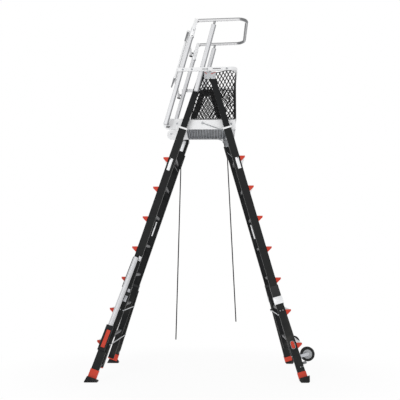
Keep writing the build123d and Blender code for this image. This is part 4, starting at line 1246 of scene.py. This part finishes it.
@dataclass
class RailDressing:
    """Bare plates, film panels and rivets on one rail set's outer faces.

    The plate is given by its place outward and along the rail, its width and its length; the film by
    its two ends along the rail.
    """

    name: str
    frame: RailFrame
    body: str
    plate: tuple[float, float, float, float]
    film: Pair
    first_tread: float
    web: float = 0.320
    plate_thick: float = 0.0012
    plate_lift: float = 0.0004
    plate_edge: float = 0.0005
    film_wide: float = 0.052
    film_thick: float = 0.0007
    film_lift: float = 0.00015
    film_edge: float = 0.0003
    treads: int = 7
    pitch: float = 0.3048
    rivet_drop: float = 0.014
    rivets_out: Pair = (0.036, 0.062)
    clear_of_bend: Pair = (0.15, 0.05)

    def build(self) -> None:
        """Adds the plates, films and rivets."""
        plates, films, rivets, studs = (Former() for _ in range(4))
        outward, along, wide, tall = self.plate
        low, high = self.film
        for side in SIDES:
            spot = self.frame.facing_side(outward, side * (self.web + self.plate_lift), along)
            plates.slab(spot, (tall, wide, self.plate_thick), self.plate_edge)
            spot = self.frame.facing_side(RAIL_MIDDLE, side * (self.web + self.film_lift), (low + high) / 2)
            films.slab(spot, (high - low, self.film_wide, self.film_thick), self.film_edge, 1)
            for over_bend, spot in self.tread_spots(side):
                (studs if over_bend else rivets).turned(spot, DOMED_RIVET)
        plates.piece(self.name + "_plates", self.body, WHITE_TRIM)
        films.piece(self.name + "_films", self.body, GLOSS_PANEL)
        rivets.piece(self.name + "_leg_rivets", self.body, STEEL)
        studs.piece(self.name + "_studs", self.body, BLACK_CASTING)

    def tread_spots(self, side: int) -> list[tuple[bool, Matrix]]:
        """Rivets' places on one rail and its leg, two for each tread.

        Args:
            side: -1 for the near rail, 1 for the far one.

        Returns:
            Whether each lies above the bend, and its frame.
        """
        rise = self.pitch * self.frame.slope[1]
        under, over = self.clear_of_bend
        spots = []
        for i in range(self.treads):
            height = self.first_tread + i * rise - self.rivet_drop
            for outward in self.rivets_out:
                if height > BEND_Z + over:
                    along = self.frame.along(outward, height)
                    spots.append((True, self.frame.facing_side(outward, side * self.web, along)))
                elif height < BEND_Z - under:
                    spots.append((False, self.frame.leg_face(side, outward, height)))
        return spots


@dataclass
class FlyTrim:
    """Caps, slotted strips and the lock's wire on the fly rails of one rail set.

    The strip is given by its place outward and its two ends along the rail, the wire by its two ends
    outward and along, the plate as on the outer rails.
    """

    name: str
    frame: RailFrame
    body: str
    end: float
    strip: Size
    wire: tuple[Pair, Pair]
    cap: Finish
    plate: tuple[float, float, float, float] | None = None
    inner: float = 0.276
    middle: float = 0.2945
    cap_size: Size = (0.058, 0.036, 0.010)
    cap_edge: float = 0.003
    strip_wide: float = 0.012
    strip_thick: float = 0.0018
    strip_edge: float = 0.0006
    wire_radius: float = 0.0022
    plate_thick: float = 0.0012
    plate_edge: float = 0.0004

    def build(self) -> None:
        """Adds the caps, strips, wire and plate."""
        caps, strips, wires = (Former() for _ in range(3))
        outward, low, high = self.strip
        for side in SIDES:
            spot = self.frame.at(RAIL_MIDDLE, side * self.middle, self.end - self.cap_size[2] / 2)
            caps.slab(spot, self.cap_size, self.cap_edge)
            across = side * (self.inner - self.strip_thick / 2)
            spot = self.frame.facing_side(outward, across, (low + high) / 2)
            strips.slab(spot, (high - low, self.strip_wide, self.strip_thick), self.strip_edge)
        ends = (self.frame.point(x, self.inner - self.wire_radius, z) for x, z in self.wire)
        wires.bar(*ends, self.wire_radius)
        caps.piece(self.name + "_end_caps", self.body, self.cap)
        strips.piece(self.name + "_strips", self.body, WHITE_TRIM)
        wires.piece(self.name + "_lock_wire", self.body, STEEL)
        if self.plate:
            plates = Former()
            outward, along, wide, tall = self.plate
            spot = self.frame.facing_side(outward, self.inner - self.plate_thick / 2, along)
            plates.slab(spot, (tall, wide, self.plate_thick), self.plate_edge)
            plates.piece(self.name + "_plate", self.body, WHITE_TRIM)


@dataclass
class CageTrim:
    """Bolts, rivets and slots of the cage, and the hinges' orange trim.

    Bolts, rivets and screws are given by their x and z. A liner is given by its x and z, its length,
    its width and the face it lies on.
    """

    body: str = "front_fly"
    rail_y: float = 0.359
    plate_y: float = 0.240
    plate_inner_y: float = 0.234
    rail_bolts: tuple[Pair, ...] = ((-0.178, 2.9545), (-0.089, 2.9560), (0.062, 2.9590), (0.255, 2.9628))
    plate_bolts: tuple[Pair, ...] = ((-0.332, 2.4468), (-0.238, 2.4411), (0.300, 2.4360))
    rivet_y: float = 0.3452
    rivets: tuple[Pair, ...] = ((-0.0700, 3.365), (-0.0880, 3.305))
    sleeve_y: float = 0.328
    sleeve_z: float = 3.390
    sleeve_set: float = 0.004
    sleeve_size: Size = (0.034, 0.0345, 0.196)
    ring_size: Size = (0.0445, 0.0325, 0.009)
    ring_drop: float = 0.092
    sheet_spot: Size = (0.299, 0, 2.4025)
    sheet_size: Size = (0.0735, 0.467, 0.003)
    sheet_rivet_x: float = 0.276
    sheet_rivets: tuple[float, ...] = (-0.18, -0.06, 0.06, 0.18)
    liner_lift: float = 0.0002
    liner_thick: float = 0.001
    cover_y: float = 0.316
    trim_lift: float = 0.0008
    trim_radius: float = 0.0026
    trim_lines: tuple[tuple[Pair, Pair], ...] = (
        ((0.038, 2.9425), (0.057, 2.9215)), ((0.098, 2.9210), (0.144, 2.9385)))
    screws: tuple[Pair, ...] = ((0.052, 2.893), (0.126, 2.893))

    def build(self) -> None:
        """Adds the cage's small pieces."""
        self.bolts()
        self.sleeves()
        self.back_sheet()
        self.slots()
        self.hinge_trim()

    def bolts(self) -> None:
        """Adds hex bolts on the mid rail and side plates, and rivets on the posts' sleeves."""
        bolts, rivets = Former(), Former()
        for side in SIDES:
            for x, z in self.rail_bolts:
                bolts.turned(side_frame(x, side * self.rail_y, z), HEX_BOLT, HEX_SIDES)
            for x, z in self.plate_bolts:
                bolts.turned(side_frame(x, side * self.plate_y, z), HEX_BOLT, HEX_SIDES)
                inward = Matrix.Translation((0, side * 2 * self.plate_inner_y, 0))
                bolts.turned(inward @ side_frame(x, -side * self.plate_inner_y, z), HEX_BOLT, HEX_SIDES)
            for x, z in self.rivets:
                rivets.turned(side_frame(x, side * self.rivet_y, z), DOMED_RIVET)
        bolts.piece("cage_bolts", self.body, STEEL)
        rivets.piece("post_rivets", self.body, BLACK_CASTING)

    def sleeves(self) -> None:
        """Adds the sleeves that carry the guard rail's ends up out of the posts, and their rings."""
        sleeves, rings = Former(), Former()
        lean = radians(POST_LEAN)
        x = POST_FOOT[0] + (self.sleeve_z - POST_FOOT[1]) * tan(lean) + self.sleeve_set
        drop = Matrix.Translation((0, 0, -self.ring_drop))
        for side in SIDES:
            place = Matrix.Translation((x, side * self.sleeve_y, self.sleeve_z))
            spot = place @ Matrix.Rotation(lean, 4, "Y")
            sleeves.slab(spot, self.sleeve_size, 0.003)
            rings.slab(spot @ drop, self.ring_size, 0.002)
        sleeves.piece("post_sleeves", self.body, SIDE_PLATE)
        rings.piece("post_sleeve_rings", self.body, LATCH)

    def back_sheet(self) -> None:
        """Adds the thin sheet that closes the floor between the deck and the back toe board."""
        sheet = Former()
        sheet.slab(Matrix.Translation(self.sheet_spot), self.sheet_size, 0.001)
        top = self.sheet_spot[2] + self.sheet_size[2] / 2
        for y in self.sheet_rivets:
            sheet.turned(Matrix.Translation((self.sheet_rivet_x, y, top)), DOMED_RIVET)
        sheet.piece("deck_back_sheet", self.body, SIDE_PLATE)

    def slots(self) -> None:
        """Adds the dark slot liners on the mid rail and under the plates' front ends."""
        liners = Former()
        for x, z, wide, tall, face in (
            (0.030, 2.9575, 0.036, 0.007, self.rail_y),
            (0.156, 2.9610, 0.078, 0.007, self.rail_y),
            (-0.330, 2.4060, 0.036, 0.012, self.plate_y),
        ):
            for side in SIDES:
                spot = side_frame(x, side * (face + self.liner_lift), z)
                liners.slab(spot, (wide, tall, self.liner_thick), 0.0003, 1)
        liners.piece("slot_liners", self.body, BLACK_CASTING)

    def hinge_trim(self) -> None:
        """Adds orange trim and screws on the hinge covers."""
        trim, screws = Former(), Former()
        for side in SIDES:
            y = side * (self.cover_y + self.trim_lift)
            for ends in self.trim_lines:
                trim.bar(*(Vector((x, y, z)) for x, z in ends), self.trim_radius)
            for x, z in self.screws:
                screws.turned(side_frame(x, side * self.cover_y, z), DOMED_RIVET)
        trim.piece("hinge_trim", self.body, FLAME_PLASTIC)
        screws.piece("hinge_screws", self.body, STEEL)


@dataclass
class LegTrim:
    """Clamps, brackets, rods and lips on the front legs; sleeves, stubs and rims on the rear legs.

    A bracket is given by its place outward, its height and its size.
    """

    clamp_spot: Size = (0.0265, 0.3235, -1.925)
    clamp_size: Size = (0.046, 0.026, 0.007)
    brackets: tuple[tuple[float, float, Size], ...] = (
        (0.026, 0.800, (0.024, 0.034, 0.018)), (0.028, 0.725, (0.028, 0.060, 0.018)))
    splay: float = 12.0
    rod_top: Pair = (0.061, 1.112)
    rod_out: float = 0.0868
    rod_y: float = 0.346
    rod_long: float = 0.30
    rod_radius: float = 0.003
    lip_z: float = 0.470
    lip_out: float = -0.0417
    lip_size: Size = (0.0115, 0.036, 0.700)
    stub_z: float = 0.150
    stub_out: float = 0.054
    stub_size: Size = (0.036, 0.024, 0.022)
    rivet_z: float = 0.122
    rivets_out: Pair = (0.056, 0.078)
    rim_z: float = 0.3093
    rim_lift: float = 0.0052
    rim_radius: float = 0.0185
    rim_straight: float = 0.018
    rim_wire: float = 0.0024
    sleeve_z: float = 0.705
    sleeve_y: float = 0.0236
    sleeve_size: Size = (0.086, 0.0072, 0.072)
    flank_out: float = 0.0396
    flank_y: float = 0.004
    flank_size: Size = (0.0068, 0.040, 0.072)
    soft_edge: float = 0.004
    edge: float = 0.002

    def build(self) -> None:
        """Adds the trim of all four legs."""
        self.front()
        self.rear()

    def front(self) -> None:
        """Adds the levelers' clamps, brackets and rods, and the legs' lips."""
        clamps, brackets, rods, lips = (Former() for _ in range(4))
        outward, across, along = self.clamp_spot
        top = FRONT.along(*self.rod_top)
        drift = self.rod_long * tan(radians(self.splay))
        inset = Matrix.Translation((self.lip_out, 0, 0))
        for side in SIDES:
            clamps.slab(FRONT.facing_side(outward, side * across, along), self.clamp_size, self.edge)
            for out, height, size in self.brackets:
                brackets.slab(FRONT.leg_face(side, out, height), size, self.soft_edge)
            low = FRONT.point(self.rod_out, side * (self.rod_y + drift), top - self.rod_long)
            rods.bar(FRONT.point(self.rod_out, side * self.rod_y, top), low, self.rod_radius)
            lips.slab(FRONT.leg(side, self.lip_z) @ inset, self.lip_size, self.edge)
        clamps.piece("leveler_clamps", "front_base", LEVELER_TUBE)
        brackets.piece("leveler_brackets", "front_base", BRACKET)
        rods.piece("leveler_rods", "front_base", BLACK_CASTING)
        lips.piece("front_leg_lips", "front_base", FRONT_RAIL)

    def rear(self) -> None:
        """Adds the rear legs' sleeves, rivets, stubs and the buttons' rims."""
        sleeves, rivets, rims, stubs = (Former() for _ in range(4))
        outset = Matrix.Translation((self.stub_out, 0, 0))
        for side in SIDES:
            self.sleeve(sleeves, side)
            self.rim(rims, side)
            stubs.slab(REAR.leg(side, self.stub_z) @ outset, self.stub_size, self.soft_edge)
            for outward in self.rivets_out:
                rivets.turned(REAR.leg_face(side, outward, self.rivet_z), DOMED_RIVET)
        sleeves.piece("rear_leg_sleeves", "rear_base", WHITE_TRIM)
        rivets.piece("rear_foot_rivets", "rear_base", STEEL)
        rims.piece("button_rims", "rear_base", STEEL)
        stubs.piece("rear_leg_stubs", "rear_base", GREY_CASTING)

    def rim(self, former: Former, side: int) -> None:
        """Adds the bright rim round one rear leg's release button.

        Args:
            former: the rims' shape.
            side: -1 for the near leg, 1 for the far one.
        """
        spot = REAR.leg_face(side, RAIL_MIDDLE, self.rim_z) @ Matrix.Translation((0, 0, self.rim_lift))
        arc = [(self.rim_radius * cos(pi * k / 8), self.rim_radius * sin(pi * k / 8)) for k in range(9)]
        path = [spot @ Vector((end * x, end * (y + self.rim_straight), 0)) for end in (1, -1) for x, y in arc]
        former.sweep(path, self.rim_wire, closed=True)

    def sleeve(self, former: Former, side: int) -> None:
        """Adds a pale sleeve round the outside of one rear leg.

        Args:
            former: the sleeves' shape.
            side: -1 for the near leg, 1 for the far one.
        """
        middle = REAR.leg(side, self.sleeve_z)
        out = side * REAR.away
        former.slab(middle @ Matrix.Translation((0, out * self.sleeve_y, 0)), self.sleeve_size, self.edge)
        for end in (-1, 1):
            flank = middle @ Matrix.Translation((end * self.flank_out, out * self.flank_y, 0))
            former.slab(flank, self.flank_size, self.edge)


def dress_nodes(nodes: dict[str, bpy.types.Object]) -> None:
    """Gives every CAD node its finish.

    Args:
        nodes: the CAD nodes' objects, by name.
    """
    finishes = {name: finish for finish, names in FINISHED_NODES for name in names.split()}
    for name, finish in finishes.items():
        data = nodes[name].data
        if not data.materials:
            data.materials.append(None)
        for slot in nodes[name].material_slots:
            slot.material = finish.material()
    missing = sorted(set(nodes) - set(finishes))
    if missing:
        raise KeyError(f"no finish for {missing}")


def cords() -> list[PullCord]:
    """The two height locks' cords.

    Returns:
        The cords, ready to build.
    """
    front = ((-0.2314, 0.292, 2.0592), (-0.2534, 0.304, 1.1692), (-0.2754, 0.292, 0.2792))
    rear = ((0.2710, 0.292, 2.1531), (0.3100, 0.304, 1.3081), (0.3490, 0.292, 0.4631))
    front_bed = (FRONT.point(0.00015, 0.292, -0.900), FRONT.point(1.00015, 0.292, -0.900))
    rear_bed = (REAR.point(0.008, 0.292, -0.850), REAR.point(1.008, 0.292, -0.855))
    return [
        PullCord("front_cord", "front_lock", front, 1.781, front_bed),
        PullCord("rear_cord", "rear_lock", rear, 1.692, rear_bed),
    ]


def nets() -> list[KnottedNet]:
    """The cage's three nets.

    Returns:
        The nets, ready to build.
    """
    foot, top = 2.4825, 2.9437
    back_x = PIN_X + 0.2843
    side = ((PIN_X - 0.1625, foot), (back_x, foot), (back_x, top), (PIN_X - 0.034, 2.9667))
    back = ((-0.2365, foot), (0.2365, foot), (0.2365, top), (-0.2365, top))
    upright_side = Matrix(((1, 0, 0), (0, 0, 1), (0, 1, 0))).to_4x4()
    upright_back = Matrix(((0, 0, 1), (1, 0, 0), (0, 1, 0))).to_4x4()
    return [
        KnottedNet("net_near", side, Matrix.Translation((0, -0.2432, 0)) @ upright_side, 3, -0.094,
                   twine=0.0052, knot=0.0078, crumple=0.0110),
        KnottedNet("net_far", side, Matrix.Translation((0, 0.2432, 0)) @ upright_side, 5, 0.094,
                   twine=0.0037, knot=0.0058, start=(0.01138, 0.00945)),
        KnottedNet("net_back", back, Matrix.Translation((PIN_X + 0.2882, 0, 0)) @ upright_back, 9,
                   wide=0.046, twine=0.0031, knot=0.0054, hem=0.0034),
    ]


def trims() -> list[RailDressing | FlyTrim | CageTrim | LegTrim]:
    """The small fittings of the rails, the cage and the legs.

    Returns:
        The fittings, ready to build.
    """
    return [
        RailDressing("front_rail", FRONT, "front_base", (0.052, -0.968, 0.029, 0.122),
                     (-1.486, -1.046), 0.350),
        RailDressing("rear_rail", REAR, "rear_base", (0.054, -0.936, 0.032, 0.114),
                     (-1.464, -1.022), 0.334),
        FlyTrim("front_fly", FRONT, "front_fly", -2.997, (0.059, -1.668, -1.512),
                ((0.022, -0.931), (0.076, -0.882)), FLAME_PLASTIC, (0.060, -0.647, 0.032, 0.122)),
        FlyTrim("rear_fly", REAR, "rear_fly", -2.8288, (0.046, -1.668, -1.516),
                ((0.022, -0.700), (0.074, -0.790)), BLACK_CASTING),
        CageTrim(),
        LegTrim(),
    ]


def main() -> None:
    """Builds and dresses the ladder."""
    logging.basicConfig(level=logging.INFO, format="%(message)s")
    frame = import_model()
    Studio().build()
    dress_nodes(frame["nodes"])
    for part in (*cords(), *nets(), *trims()):
        part.build()


if __name__ == "__main__":
    main()
